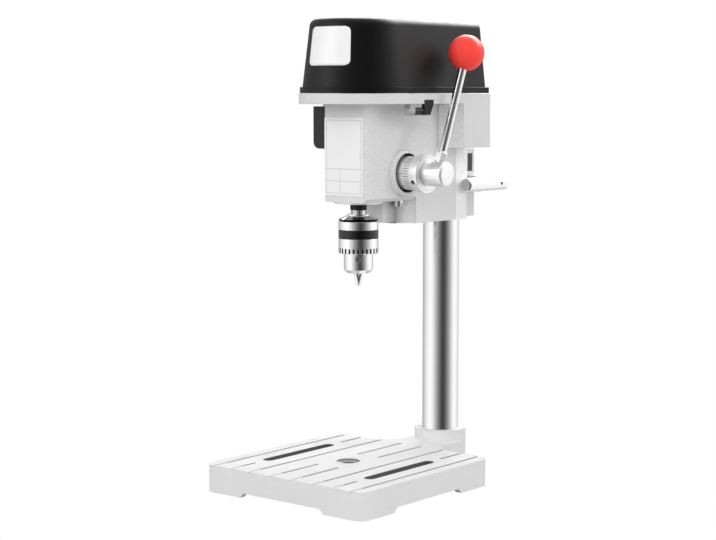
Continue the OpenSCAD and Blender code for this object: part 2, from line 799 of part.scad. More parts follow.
module motor_screws() color(steel)
  for (s = [-1, 1]) translate([s * motor_screw_x, motor_y, floor_top])
    slotted_pan_screw(small_screw_d, small_head_d, 2, tray_floor + 2.8);

module motor_armature() color(brass) {
  stack_gap = 3;
  shaft_low = motor_bottom - bell_h + bell_floor + seat_gap;
  brush_z = motor_bottom + bell_spigot_h + 2;
  brush_h = 9;
  stack_z = brush_z + brush_h + 1;
  translate([0, motor_y, shaft_low]) cylinder(d = motor_shaft_d, h = pulley_top - shaft_low);
  translate([0, motor_y, stack_z])
    cylinder(d = motor_d - 2 * can_wall - 2 * stack_gap, h = motor_top - stack_z - 8);
  translate([0, motor_y, brush_z]) cylinder(d = motor_shaft_d + 8, h = brush_h);
}

module motor_pulley() color(steel) difference() {
  for (i = [0:pulley_steps - 1]) translate([0, motor_y, pulley_bottom + i * pulley_step_h])
    pulley_step(motor_belt_r(i));
  translate([0, motor_y, pulley_bottom - cut]) cylinder(d = motor_shaft_d + 2 * still_gap, h = cover_top);
  along_y(0, motor_y, pulley_bottom + pulley_step_h / 2)
    cylinder(d = grub_d + 2 * still_gap, h = belt_r_max);
}

module motor_grub_screw() color(black)
  along_y(0, motor_y + motor_shaft_d / 2 + still_gap, pulley_bottom + pulley_step_h / 2)
    cylinder(d = grub_d, h = belt_r_min - motor_shaft_d / 2 - 1.5);

// Feed bushes, return spring and small pieces on the head

module feed_bushes() color(brass) {
  chamber_half = pinion_w / 2 + 1;
  along_x(chamber_half, feed_y, feed_z) ring(bush_d, feed_shaft_d + 2 * run_gap, feed_floor_x - chamber_half);
  along_x(-head_side, feed_y, feed_z) ring(bush_d, feed_shaft_d + 2 * run_gap, head_side - chamber_half);
}

module spring_cap() color(cast_grey) {
  difference() {
    union() {
      along_x(-head_side - cap_h, feed_y, feed_z) cylinder(d = cap_d, h = cap_h);
      for (s = [-1, 1]) along_x(-head_side - cap_ear_t, feed_y + s * cap_ear_off, feed_z)
        cylinder(d = cap_ear_d, h = cap_ear_t);
    }
    along_x(-head_side - cap_h + cap_wall, feed_y, feed_z) cylinder(d = cap_d - 2 * cap_wall, h = cap_h);
    for (s = [-1, 1]) along_x(-head_side - cap_ear_t - cut, feed_y + s * cap_ear_off, feed_z)
      cylinder(d = small_screw_d + 2 * still_gap, h = cap_ear_t + 2 * cut);
  }
}

module spring_cap_screws() color(steel)
  for (s = [-1, 1]) translate([-head_side - cap_ear_t, feed_y + s * cap_ear_off, feed_z]) rotate([0, -90, 0])
    slotted_pan_screw(small_screw_d, small_head_d, 2, cap_ear_t + 7);

// Point of the spring's spiral after a share of its turns
function spiral_point(share, turns, r0, growth) =
  let (r = r0 + growth * share, a = 360 * turns * share) [r * cos(a), r * sin(a)];

// Flat strip wound from the shaft out to the cap
module return_spring() color(steel) {
  turns = 4;
  count = 80;
  strip_t = 0.7;
  inner_r = feed_shaft_d / 2 + 0.6;
  growth = cap_d / 2 - cap_wall - strip_t - 0.15 - inner_r;
  along_x(-head_side - spring_w - 2, feed_y, feed_z) linear_extrude(spring_w) polygon(concat(
    [for (i = [0:count]) spiral_point(i / count, turns, inner_r, growth)],
    [for (i = [count:-1:0]) spiral_point(i / count, turns, inner_r + strip_t, growth)]));
}

module bush_lock_screw() color(steel)
  translate([under_screw_x, under_screw_y, head_bottom]) rotate([180, 0, 0])
    slotted_pan_screw(screw_d, 8, 5, under_screw_len);

module latch_pin() color(steel)
  along_y(latch_x, lug_front - 1.5, latch_z) {
    cylinder(d = latch_pin_d, h = lug_len + latch_foot_len);
    cylinder(d = latch_pin_d + 2.5, h = 1.5 - still_gap);
  }

module clamp_nut() color(steel) along_x(-ear_w / 2 - clamp_nut_h, clamp_reach, clamp_z) difference() {
  cylinder(d = clamp_screw_d * 1.9, h = clamp_nut_h, $fn = 6);
  translate([0, 0, -cut]) cylinder(d = clamp_screw_d + 2 * run_gap, h = clamp_nut_h + 2 * cut);
}

// Switch box, inlet and wiring

module switch_profile(inset) {
  corner = 6;
  x0 = -head_side - switch_t + inset;
  z0 = switch_bottom + inset;
  w = switch_t - inset;
  h = head_top - flange_t - seat_gap - switch_bottom - 2 * inset;
  translate([x0 + corner, z0]) square([w - corner, h]);
  translate([x0, z0 + corner]) square([w, h - corner]);
  translate([x0 + corner, z0 + corner]) circle(corner);
}

module switch_box() color(black) difference() {
  translate([0, -switch_front + switch_len, 0]) rotate([90, 0, 0])
    linear_extrude(switch_len) switch_profile(0);
  translate([0, -switch_front + switch_len - switch_wall, 0]) rotate([90, 0, 0])
    linear_extrude(switch_len - 2 * switch_wall) switch_profile(switch_wall);
  translate([-head_side - switch_t - cut, rocker_y - rocker_len / 2 - seat_gap,
    rocker_z - rocker_h / 2 - seat_gap])
    cube([switch_wall + 2 * cut, rocker_len + 2 * seat_gap, rocker_h + 2 * seat_gap]);
}

// Rocker: a shallow V-shaped key that tips on two stub pins behind the box's wall
module switch_rocker() color([0.6, 0.1, 0.1]) {
  proud = 2.4;
  stub = 1.2;
  along_y(rocker_x + rocker_pin_d / 2 + seat_gap, rocker_y - rocker_len / 2 - stub, rocker_z)
    cylinder(d = rocker_pin_d, h = rocker_len + 2 * stub);
  translate([rocker_x, rocker_y, rocker_z]) rotate([90, 0, 0]) linear_extrude(rocker_len, center = true)
    polygon([[1.5, -2], [-switch_wall, -rocker_h / 2 + 0.6], [-switch_wall - proud, -rocker_h / 2 + 0.8],
      [-switch_wall - 0.8, 0], [-switch_wall - proud, rocker_h / 2 - 0.8], [-switch_wall, rocker_h / 2 - 0.6],
      [1.5, 2]]);
}

module cable_gland() color(black) along_y(-(head_side + tray_r) / 2, 0, (box_bottom + tray_bottom) / 2)
  difference() {
    stem_d = 10;
    inside = 2;
    outside = 11;
    flange_h = 3;
    union() {
      translate([0, 0, tray_rear - tray_wall - inside])
        cylinder(d = stem_d, h = tray_wall + inside + outside);
      translate([0, 0, tray_rear]) cylinder(d = stem_d + 5, h = flange_h);
      translate([0, 0, tray_rear + flange_h])
        cylinder(d1 = stem_d + 3, d2 = stem_d + 0.5, h = outside - flange_h);
    }
    translate([0, 0, -cord_d]) cylinder(d = cord_d, h = 6 * cord_d);
  }

module terminal_block() color([0.9, 0.9, 0.85])
  translate([-tray_r + tray_wall, -box_front + tray_wall, box_bottom + tray_wall])
    cube([wiring_w, box_front * 0.5, box_h * 0.36]);

module suppressor_capacitor() color([0.85, 0.75, 0.2])
  translate([tray_r - tray_wall - wiring_w, -box_front + tray_wall, box_bottom + tray_wall])
    cube([wiring_w, box_front * 0.56, box_h * 0.58]);

// Quill and spindle

module rack_gaps() {
  half_gap = rack_pitch / 4 + backlash / 4;
  slope = tan(pressure_angle);
  rise = tooth_module + cut;
  spare = ceil(sqrt(pow(pinion_tip_r, 2) - pow(pinion_r - tooth_module, 2)) / rack_pitch);
  last = spare + ceil(quill_travel / rack_pitch);
  for (i = [-spare:last]) translate([0, spindle_y + rack_line, feed_z + i * rack_pitch])
    rotate([90, 0, 90]) linear_extrude(quill_d, center = true) polygon([
      [rise, half_gap + slope * rise], [-tooth_root, half_gap - slope * tooth_root],
      [-tooth_root, -half_gap + slope * tooth_root], [rise, -half_gap - slope * rise]]);
}

module quill() color(steel) difference() {
  translate([0, spindle_y, quill_bottom]) cylinder(d = quill_d, h = quill_len);
  translate([0, spindle_y, quill_bottom - cut]) cylinder(d = spindle_d + 3, h = quill_len + 2 * cut);
  for (z = [quill_bottom - cut, quill_top - bearing_h]) translate([0, spindle_y, z])
    cylinder(d = bearing_d + 2 * still_gap, h = bearing_h + cut);
  rack_gaps();
}

module quill_bearings() color(steel)
  for (z = [quill_bottom, quill_top - bearing_h]) translate([0, spindle_y, z])
    ring(bearing_d, spindle_d + 2 * run_gap, bearing_h);

module spindle_shaft() color(steel) {
  flats_low = quill_top + 1;
  translate([0, spindle_y, spindle_low]) cylinder(d = spindle_d, h = flats_low - spindle_low);
  translate([0, spindle_y, flats_low]) linear_extrude(spindle_top - flats_low) drive_section(0);
}

module spindle_collar() color(black)
  translate([0, spindle_y, chuck_top]) ring(collar_d, spindle_d + 2 * still_gap, collar_h);

// Drill chuck

function jaw_outer_r(z) = jaw_tip_r + (z - jaw_tip) * tan(jaw_slant);
function jaw_apex() = jaw_tip - (jaw_tip_r - jaw_d / 2 / cos(jaw_slant)) / tan(jaw_slant);

// Cylinder along a jaw's axis, from below its tip up to a height
module jaw_cylinder(d, up) translate([0, 0, jaw_apex()]) rotate([0, jaw_slant, 0])
  translate([0, 0, -10]) cylinder(d = d, h = 10 + (up - jaw_apex()) / cos(jaw_slant));

module jaw(i) color(steel) {
  top = jaw_tip + jaw_len;
  far = 40;
  translate([0, spindle_y, 0]) rotate([0, 0, first_jaw + 120 * i]) intersection() {
    jaw_cylinder(jaw_d, top);
    translate([0, 0, jaw_tip]) linear_extrude(2 * jaw_len)
      polygon([[jaw_gap, 0], [far / 2, -far * sin(60)], [far, -far * sin(60)], [far, far * sin(60)],
        [far / 2, far * sin(60)]]);
  }
}

module jaw_1() jaw(0);
module jaw_2() jaw(1);
module jaw_3() jaw(2);

module chuck_body() color(steel) difference() {
  nose_r = nose_d / 2;
  neck_r = chuck_neck_d / 2;
  upper_r = sleeve_bore_r - run_gap;
  flange_r = sleeve_d / 2 - 0.2;
  flutes = 18;
  translate([0, spindle_y, 0]) rotate_extrude() polygon([
    [0, nose_end], [nose_r - nose_chamfer, nose_end], [nose_r, nose_bottom], [nose_r, nut_bottom - seat_gap],
    [groove_floor_r, nut_bottom - seat_gap], [groove_floor_r, nut_top + seat_gap],
    [upper_r, nut_top + seat_gap], [upper_r, chuck_flange_z], [flange_r, chuck_flange_z],
    [flange_r, chuck_flange_z + 1.2], [flange_r - 3, chuck_flange_z + 2.4],
    [neck_r + 3.5, chuck_cone_top - 1],
    [neck_r + 3.5, chuck_cone_top], [neck_r, chuck_cone_top], [neck_r, chuck_top], [0, chuck_top]]);
  translate([0, spindle_y, spindle_low]) cylinder(d = spindle_d + 2 * still_gap, h = chuck_top);
  translate([0, spindle_y, nose_end - cut]) cylinder(d = jaw_d + 2.5, h = nut_bottom - nose_end);
  for (i = [0:2]) translate([0, spindle_y, 0]) rotate([0, 0, first_jaw + 120 * i]) {
    jaw_cylinder(jaw_d + 2 * run_gap, jaw_tip + jaw_len + jaw_travel + 1.5);
    rotate([0, 0, 60]) along_x(nose_r - 5, 0, sleeve_bottom - 4.2) cylinder(d = key_hole_d, h = 8);
  }
  for (i = [0:flutes - 1]) translate([0, spindle_y, 0]) rotate([0, 0, i * 360 / flutes])
    translate([neck_r - 0.5, -0.5, chuck_cone_top]) cube([2, 1, chuck_neck_h + cut]);
}

module chuck_sleeve() color(steel) difference() {
  outer_r = sleeve_d / 2;
  teeth = 28;
  tooth_h = 4.6;
  translate([0, spindle_y, 0]) rotate_extrude() polygon([
    [nose_d / 2 + run_gap, sleeve_bottom], [outer_r - 0.6, sleeve_bottom], [outer_r, sleeve_bottom + 0.8],
    [outer_r, band_bottom], [outer_r - band_t, band_bottom], [outer_r - band_t, band_bottom + band_h],
    [outer_r, band_bottom + band_h], [outer_r, sleeve_top - 0.8], [outer_r - 0.8, sleeve_top],
    [sleeve_bore_r, sleeve_top], [sleeve_bore_r, sleeve_bottom + lip_in_h],
    [nose_d / 2 + run_gap, sleeve_bottom + lip_in_h]]);
  for (i = [0:teeth - 1]) translate([0, spindle_y, 0]) rotate([0, 0, i * 360 / teeth])
    translate([outer_r - 3, -0.85, sleeve_bottom - cut]) cube([4, 1.7, tooth_h + cut]);
}

module sleeve_band() color(black) translate([0, spindle_y, band_bottom + still_gap])
  ring(sleeve_d, sleeve_d - 2 * band_t + 2 * still_gap, band_h - 2 * still_gap);

module chuck_nut() color(steel) translate([0, spindle_y, 0]) rotate_extrude() polygon([
  [jaw_outer_r(nut_bottom) + 0.3, nut_bottom], [sleeve_bore_r - still_gap, nut_bottom],
  [sleeve_bore_r - still_gap, nut_top], [jaw_outer_r(nut_top) + 0.3, nut_top]]);

// Feed pinion, hub and lever

function degrees_of(radians) = radians * 180 / PI;
function polar(r, a) = [r * cos(a), r * sin(a)];
function involute(a) = degrees_of(tan(a)) - a;
function base_r() = pinion_r * cos(pressure_angle);
function flank_r(share) = base_r() + (pinion_tip_r - base_r()) * share;

// Half of a pinion tooth's angle at a radius
function half_tooth(r) = degrees_of((rack_pitch / 4 - backlash / 4) / pinion_r) + involute(pressure_angle)
  - involute(acos(min(1, base_r() / r)));

module feed_pinion() color(steel) along_x(-pinion_w / 2, feed_y, feed_z) difference() {
  root_r = pinion_r - tooth_root;
  root_half = half_tooth(base_r()) + 0.3;
  shares = [0, 0.25, 0.5, 0.75, 1];
  linear_extrude(pinion_w) polygon([for (t = [0:pinion_teeth - 1]) let (mid = 270 + t * 360 / pinion_teeth)
    each concat(
      [polar(root_r, mid - root_half)],
      [for (f = shares) polar(flank_r(f), mid - half_tooth(flank_r(f)))],
      [for (f = shares) polar(flank_r(1 - f), mid + half_tooth(flank_r(1 - f)))],
      [polar(root_r, mid + root_half)])]);
  translate([0, 0, -cut]) cylinder(d = feed_shaft_d + 2 * still_gap, h = pinion_w + 2 * cut);
}

module pinion_shaft() color(steel) {
  left_end = head_side + cap_h - cap_wall - seat_gap;
  along_x(-left_end, feed_y, feed_z) cylinder(d = feed_shaft_d, h = left_end + hub_end_x - 3);
}

// Places a shape along the lever, from the hub axis outward
module along_lever() translate([lever_x, feed_y, feed_z]) rotate([-lever_lean, 0, 0])
  rotate([0, lever_out, 0]) children();

// Hub with a rounded end
module hub_blank() rotate_extrude() polygon(concat(
  [[0, 0], [hub_d / 2, 0]],
  [for (a = [0:15:90]) [hub_d / 2 - hub_edge_r * (1 - cos(a)), hub_len - hub_edge_r * (1 - sin(a))]],
  [[0, hub_len]]));

module feed_hub() color(cast_grey) difference() {
  along_x(hub_x, feed_y, feed_z) hub_blank();
  along_x(hub_x - cut, feed_y, feed_z) cylinder(d = feed_shaft_d + 2 * still_gap, h = hub_len - 3 + cut);
  translate([flats_x, feed_y, feed_z]) rotate([flats_turn, 0, 0]) for (s = [-1, 1], t = [0, 90])
    rotate([t, 0, 0]) translate([0, -hub_d, s > 0 ? flats_w / 2 : -flats_w / 2 - hub_d])
      cube([flats_len, 2 * hub_d, hub_d]);
  along_lever() translate([0, 0, lever_foot - seat_gap]) cylinder(d = lever_d + 2 * still_gap, h = hub_d);
}

module lever_rod() color(steel)
  along_lever() translate([0, 0, lever_foot]) cylinder(d = lever_d, h = lever_len - lever_foot);

module lever_nut() color(steel) {
  nut_d = lever_d + 3.2;
  nut_h = 7;
  crown_h = 1.5;
  nut_seat = hub_d / 2 + nut_d / 2 * tan(lever_out) + still_gap;
  along_lever() translate([0, 0, nut_seat]) difference() {
    union() {
      cylinder(d = nut_d, h = nut_h, $fn = 6);
      translate([0, 0, nut_h]) cylinder(d1 = lever_d + 2.4, d2 = lever_d + 1.4, h = crown_h);
    }
    translate([0, 0, -cut]) cylinder(d = lever_d + 2 * still_gap, h = nut_h + crown_h + 2 * cut);
  }
}

module ball_knob() color([0.93, 0.12, 0.12]) along_lever() difference() {
  translate([0, 0, lever_len]) sphere(d = ball_d);
  translate([0, 0, lever_len - ball_d]) cylinder(d = lever_d + 2 * still_gap, h = ball_d + 2 * still_gap);
  translate([-ball_d, -ball_d, lever_len - ball_d / 2 - ball_d + 0.8])
    cube([2 * ball_d, 2 * ball_d, ball_d]);
}

// Graduated collar, held on the pinion shaft by its set screw
module depth_dial() color(cast_grey) difference() {
  scale_len = dial_len * 0.68;
  scale_r = scale_d / 2;
  rim_t = 2.4;
  rim_r = dial_d / 2 + 0.9;
  line_w = 0.8;
  marks = 40;
  union() {
    along_x(dial_x, feed_y, feed_z) cylinder(r = scale_r, h = scale_len + line_w + cut);
    along_x(dial_x + scale_len + line_w, feed_y, feed_z)
      cylinder(d = dial_d, h = dial_len - scale_len - line_w);
    along_x(dial_x + dial_len - rim_t, feed_y, feed_z) cylinder(r = rim_r, h = rim_t);
  }
  along_x(dial_x - cut, feed_y, feed_z) cylinder(d = feed_shaft_d + 2 * run_gap, h = dial_len + 2 * cut);
  along_x(dial_x + scale_len, feed_y, feed_z) ring(dial_d + cut, scale_d - 1, line_w);
  for (i = [0:marks - 1]) translate([dial_x, feed_y, feed_z]) rotate([i * 360 / marks, 0, 0])
    translate([scale_len * (i % 5 == 0 ? 0.5 : 0.7), -0.2, scale_r - 0.35]) cube([scale_len, 0.4, 1]);
  dial_screw_place() cylinder(d = dial_screw_d + 2 * still_gap, h = dial_d);
}

module dial_screw_place() translate([dial_x + dial_len * 0.83, feed_y, feed_z])
  rotate([dial_screw_turn, 0, 0]) translate([0, 0, feed_shaft_d / 2]) children();

module dial_set_screw() color(black)
  dial_screw_place() translate([0, 0, run_gap + still_gap])
    cylinder(d = dial_screw_d, h = dial_d / 2 - feed_shaft_d / 2 - 2);

// Belt cover: a round-nosed shell that tapers upward

module cover_profile(inset) {
  top = cover_top - inset;
  edge = cover_edge_r - inset;
  low = inset > 0 ? cover_bottom - cut : cover_bottom + lip_h;
  r_low = cover_r_low - inset;
  r_high = cover_r_high - inset;
  polygon(concat(
    [[0, low], [r_low, low], [r_high, top - edge]],
    [for (a = [15:15:75]) [r_high - edge + edge * cos(a), top - edge + edge * sin(a)]],
    [[r_high - edge, top], [0, top]]));
}

module cover_form(inset) {
  rear = cover_rear - inset;
  translate([0, spindle_y, 0]) rotate([0, 0, 180])
    rotate_extrude(angle = 180, $fn = 128) cover_profile(inset);
  for (s = [0, 1]) mirror([s, 0, 0]) translate([0, rear, 0]) rotate([90, 0, 0])
    linear_extrude(spindle_reach + rear) cover_profile(inset);
}

module lip_plan(r, rear) {
  translate([0, spindle_y]) circle(r, $fn = 128);
  translate([-r, spindle_y]) square([2 * r, spindle_reach + rear]);
}

module belt_cover() color(black) difference() {
  union() {
    cover_form(0);
    translate([0, 0, cover_bottom]) linear_extrude(lip_h) lip_plan(lip_r, tray_rear - 1);
  }
  cover_form(cover_wall);
}

// Swing latch: a barrel on the pin with an upright that lies in the tray's notch
module cover_latch() color(black) {
  barrel_front = lug_front + lug_len + seat_gap;
  upright_front = lug_front + lug_len + latch_foot_len - 8;
  latch_rise = latch_top - latch_z;
  difference() {
    union() {
      along_y(latch_x, barrel_front, latch_z) cylinder(r = latch_r, h = latch_foot_len);
      translate([tray_r - latch_upright_t - 0.1, upright_front, latch_z]) rotate([90, 0, 90])
        linear_extrude(latch_upright_t) polygon([
          [0, -latch_r], [latch_upright_len - latch_slant, -latch_r], [latch_upright_len, latch_rise - 3],
          [latch_upright_len, latch_rise], [0, latch_rise]]);
    }
    along_y(latch_x, barrel_front - cut, latch_z)
      cylinder(d = latch_pin_d + 2 * run_gap, h = latch_foot_len + 2 * cut);
  }
}

// Column clamp

module clamp_screw() color(steel) {
  left = ear_w / 2 + clamp_nut_h + 2.5;
  along_x(-left, clamp_reach, clamp_z) cylinder(d = clamp_screw_d, h = left + bar_x + bar_hole_in);
  along_x(ear_w / 2 + seat_gap, clamp_reach, clamp_z)
    cylinder(d = clamp_collar_d, h = bar_x - bar_d / 2 + bar_seat - ear_w / 2 - seat_gap);
}

module clamp_bar() color(steel) difference() {
  chamfer = 1;
  front = clamp_reach - bar_len / 2;
  rear = clamp_reach + bar_len / 2;
  mark_d = 3;
  union() {
    along_y(bar_x, front + chamfer, clamp_z) cylinder(d = bar_d, h = bar_len - 2 * chamfer);
    along_y(bar_x, front, clamp_z) cylinder(d1 = bar_d - 2 * chamfer, d2 = bar_d, h = chamfer);
    along_y(bar_x, rear - chamfer, clamp_z) cylinder(d1 = bar_d, d2 = bar_d - 2 * chamfer, h = chamfer);
  }
  along_x(0, clamp_reach, clamp_z)
    cylinder(d = clamp_screw_d + 2 * still_gap, h = bar_x + bar_hole_in + still_gap);
  along_x(0, clamp_reach, clamp_z)
    cylinder(d = clamp_collar_d + 2 * still_gap, h = bar_x - bar_d / 2 + bar_seat + still_gap);
  along_x(bar_x, rear - bar_d, clamp_z) cylinder(d = mark_d, h = bar_d);
}

base_plate();
column_set_screw();
column();
column_plug();
head_casting();
nameplate();
belt_tray();
tray_screws();
bearing_housing();
housing_screws();
pulley_bearings();
drive_belt();
motor_can();
motor_end_bell();
motor_screws();
feed_bushes();
spring_cap();
spring_cap_screws();
return_spring();
bush_lock_screw();
latch_pin();
clamp_nut();
switch_box();
cable_gland();
terminal_block();
suppressor_capacitor();
quill();
quill_bearings();
spindle_shaft();
spindle_collar();
chuck_body();
chuck_sleeve();
sleeve_band();
chuck_nut();
jaw_1();
jaw_2();
jaw_3();
spindle_pulley();
drive_sleeve();
pulley_grub_screw();
motor_armature();
motor_pulley();
motor_grub_screw();
pinion_shaft();
feed_pinion();
feed_hub();
lever_rod();
lever_nut();
ball_knob();
depth_dial();
dial_set_screw();
belt_cover();
cover_latch();
clamp_screw();
clamp_bar();
switch_rocker();
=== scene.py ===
"""Looks of the mini drill press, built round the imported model. Metres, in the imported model's frame."""

import itertools
import json
import math

import bpy
from mathutils import Matrix, Vector


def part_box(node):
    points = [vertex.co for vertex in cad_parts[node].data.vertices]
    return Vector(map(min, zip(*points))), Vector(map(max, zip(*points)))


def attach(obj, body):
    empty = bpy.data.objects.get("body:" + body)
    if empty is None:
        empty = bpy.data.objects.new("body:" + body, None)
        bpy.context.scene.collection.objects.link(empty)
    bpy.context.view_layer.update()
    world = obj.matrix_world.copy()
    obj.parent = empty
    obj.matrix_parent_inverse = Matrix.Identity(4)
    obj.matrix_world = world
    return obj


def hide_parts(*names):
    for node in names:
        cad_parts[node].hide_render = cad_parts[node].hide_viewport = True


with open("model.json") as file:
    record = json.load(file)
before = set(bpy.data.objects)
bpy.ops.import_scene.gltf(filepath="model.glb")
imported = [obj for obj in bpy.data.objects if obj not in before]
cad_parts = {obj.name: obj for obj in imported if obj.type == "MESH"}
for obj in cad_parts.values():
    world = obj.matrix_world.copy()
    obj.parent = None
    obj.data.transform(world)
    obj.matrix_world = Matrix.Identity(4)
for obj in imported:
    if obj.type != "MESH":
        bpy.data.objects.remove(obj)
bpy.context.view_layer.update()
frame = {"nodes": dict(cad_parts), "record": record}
NODES = frame["nodes"]
scene = bpy.context.scene

# Driving places of the machine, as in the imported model
SPINDLE_Y = -0.115
FEED_AXIS = Vector((0, -0.083, 0.264))
TABLE_TOP = 0.023
BASE_LOW, BASE_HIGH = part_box("base_plate")
SLEEVE_LOW, SLEEVE_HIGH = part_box("chuck_sleeve")
COLLAR_LOW, COLLAR_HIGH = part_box("spindle_collar")
DIAL_LOW, DIAL_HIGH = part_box("depth_dial")
HUB_LOW, HUB_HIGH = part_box("feed_hub")
BAR_LOW, BAR_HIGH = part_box("clamp_bar")
PIN_LOW, PIN_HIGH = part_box("latch_pin")
PLATE_LOW, PLATE_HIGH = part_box("nameplate")


def add_object(name, data):
    """Puts a new object with this data into the scene."""
    item = bpy.data.objects.new(name, data)
    scene.collection.objects.link(item)
    return item


def aim(item, direction):
    """Turns a camera or a lamp to look along a direction."""
    item.rotation_euler = direction.to_track_quat("-Z", "Y").to_euler()


# Camera at the photo's viewing angle
IMAGE_WIDTH = 716
FOCAL_LENGTH_PX = 1730.4
SENSOR_WIDTH = 36
CAMERA_PLACE = (0.91774, -1.22612, 0.33136)
CAMERA_NEAREST = 0.05
HEADING = math.radians(39.571)
DOWNWARD = math.radians(5.872)
FORWARD = Vector((-math.sin(HEADING), math.cos(HEADING), 0))

camera = add_object("camera", bpy.data.cameras.new("camera"))
camera.data.sensor_width = SENSOR_WIDTH
camera.data.lens = SENSOR_WIDTH * FOCAL_LENGTH_PX / IMAGE_WIDTH
camera.data.clip_start = CAMERA_NEAREST
camera.location = CAMERA_PLACE
aim(camera, FORWARD * math.cos(DOWNWARD) + Vector((0, 0, -math.sin(DOWNWARD))))
scene.camera = camera
scene.view_settings.view_transform = "Standard"


# Shader helpers
class Tree:
    """A node tree built with short calls: node(kind, socket=value or linked output)."""

    def __init__(self, owner):
        owner.use_nodes = True
        self.tree = owner.node_tree
        self.tree.nodes.clear()

    def node(self, kind, settings=None, **sockets):
        """New node. A socket is named with _ for each space, or in0, in1 and so on by its number."""
        made = self.tree.nodes.new(kind)
        for key, value in (settings or {}).items():
            setattr(made, key, value)
        for key, value in sockets.items():
            number = key[2:] if key.startswith("in") else ""
            socket = made.inputs[int(number) if number.isdigit() else key.replace("_", " ")]
            if isinstance(value, bpy.types.NodeSocket):
                self.tree.links.new(value, socket)
            else:
                socket.default_value = value
        return made

    def math(self, operation, first, second=0.0, third=0.0):
        made = self.node("ShaderNodeMath", {"operation": operation}, in0=first, in1=second, in2=third)
        return made.outputs[0]

    def vector(self, operation, **sockets):
        return self.node("ShaderNodeVectorMath", {"operation": operation}, **sockets).outputs

    def axes(self, place):
        return self.node("ShaderNodeSeparateXYZ", Vector=place).outputs

    def span(self, value, start, end, low, high):
        """Runs from low to high while the value runs from start to end."""
        made = self.node("ShaderNodeMapRange", {"clamp": True}, Value=value, From_Min=start, From_Max=end,
                         To_Min=low, To_Max=high)
        return made.outputs[0]

    def mix(self, factor, first, second):
        return self.node("ShaderNodeMix", {"data_type": "RGBA"}, in0=factor, in6=first, in7=second).outputs[2]

    def noise(self, place, scale, detail=2.0, rough=0.5, distort=0.0):
        made = self.node("ShaderNodeTexNoise", Vector=place, Scale=scale, Detail=detail, Roughness=rough,
                         Distortion=distort)
        return made.outputs["Fac"]

    def between(self, value, low, high):
        """1 from low to high, 0 elsewhere."""
        return self.math("COMPARE", value, (low + high) / 2, (high - low) / 2)

    def inside(self, place, low, high):
        """1 within a box of the frame, 0 outside it."""
        result = 1.0
        for value, start, end in zip(self.axes(place), low, high):
            result = self.math("MULTIPLY", self.between(value, start, end), result)
        return result


def grey(level):
    return (level, level, level)


def shade(color, factor=1.0):
    """The colour made lighter or darker, with its alpha."""
    return tuple(min(1.0, part * factor) for part in color) + (1.0,)


# Patches painted over a finish where they lie, most of them painted light and shade
def flat_grey(low, high, level):
    """Flat grey in a box of the frame, used mostly as painted shade in slots, slits and hollows."""
    def paint(tree, place, base):
        return tree.mix(tree.inside(place, low, high), base, shade(grey(level)))

    return paint


def painted_light_or_shade(low, high, front, back):
    """Painted light or shade in a box: the paint scaled by a factor that runs from its front to its back."""
    def paint(tree, place, base):
        factor = tree.span(tree.axes(place)["Y"], low[1], high[1], front, back)
        scaled = tree.vector("SCALE", in0=base, Scale=factor)["Vector"]
        return tree.mix(tree.inside(place, low, high), base, scaled)

    return paint


def round_recess_shade(centre, radius, start, end, level):
    """Painted shade: flat grey in a round recess along X."""
    def paint(tree, place, base):
        apart = tree.vector("SUBTRACT", in0=place, in1=centre)["Vector"]
        across = tree.vector("MULTIPLY", in0=apart, in1=(0.0, 1.0, 1.0))["Vector"]
        near = tree.math("LESS_THAN", tree.vector("LENGTH", in0=across)["Value"], radius)
        within = tree.math("MULTIPLY", near, tree.between(tree.axes(place)["X"], start, end))
        return tree.mix(within, base, shade(grey(level)))

    return paint


# How a finish is mixed: noise scales per metre or as a share of the grain's, and the noise its changes span
FINE_STRETCH = (0.3, 0.7)
WEAR_SCALE = 14.0
WEAR_STRETCH = (0.35, 0.75)
ROUGH_STRETCH = (0.3, 0.7)
LINE_SQUEEZE = 0.02
PIT_SHARE = 0.6
PIT_STRETCH = (0.05, 0.32)
PIT_SHADE = 0.55
CLUSTER_SHARE = 0.17
CLUSTER_STRETCH = (0.45, 0.62)
CAST_SCALE = 560
CAST_STRETCH = (0.35, 0.65)
# Factors of the casting grain, above one as painted light
CAST_GRAIN_AND_LIGHT = (1.2, 1.38)
CAST_RELIEF = 8.0
BUMP_STRENGTH = 0.6


def pitted(tree, place, base, color, grain, depth):
    """Dark pits in clusters: the colour with them, and the spots themselves."""
    cell = tree.node("ShaderNodeTexVoronoi", {"feature": "F1"}, Vector=place, Scale=grain * PIT_SHARE)
    pit = tree.span(cell.outputs["Distance"], *PIT_STRETCH, 1, 0)
    cluster = tree.span(tree.noise(place, grain * CLUSTER_SHARE), *CLUSTER_STRETCH, 0, 1)
    spots = tree.math("MULTIPLY", pit, cluster)
    return tree.mix(tree.math("MULTIPLY", spots, depth), base, shade(color, PIT_SHADE)), spots


def cast_skin_with_light(tree, place, base, color, low, high):
    """Coarse casting grain in a box, lightened as painted light: the colour with it, and its relief."""
    skin = tree.noise(place, CAST_SCALE, detail=3.0, rough=0.55)
    within = tree.inside(place, low, high)
    dark, light = (shade(color, factor) for factor in CAST_GRAIN_AND_LIGHT)
    speckled_and_lit = tree.mix(tree.span(skin, *CAST_STRETCH, 0, 1), dark, light)
    relief = tree.math("MULTIPLY", tree.math("MULTIPLY", skin, within), CAST_RELIEF)
    return tree.mix(within, base, speckled_and_lit), relief


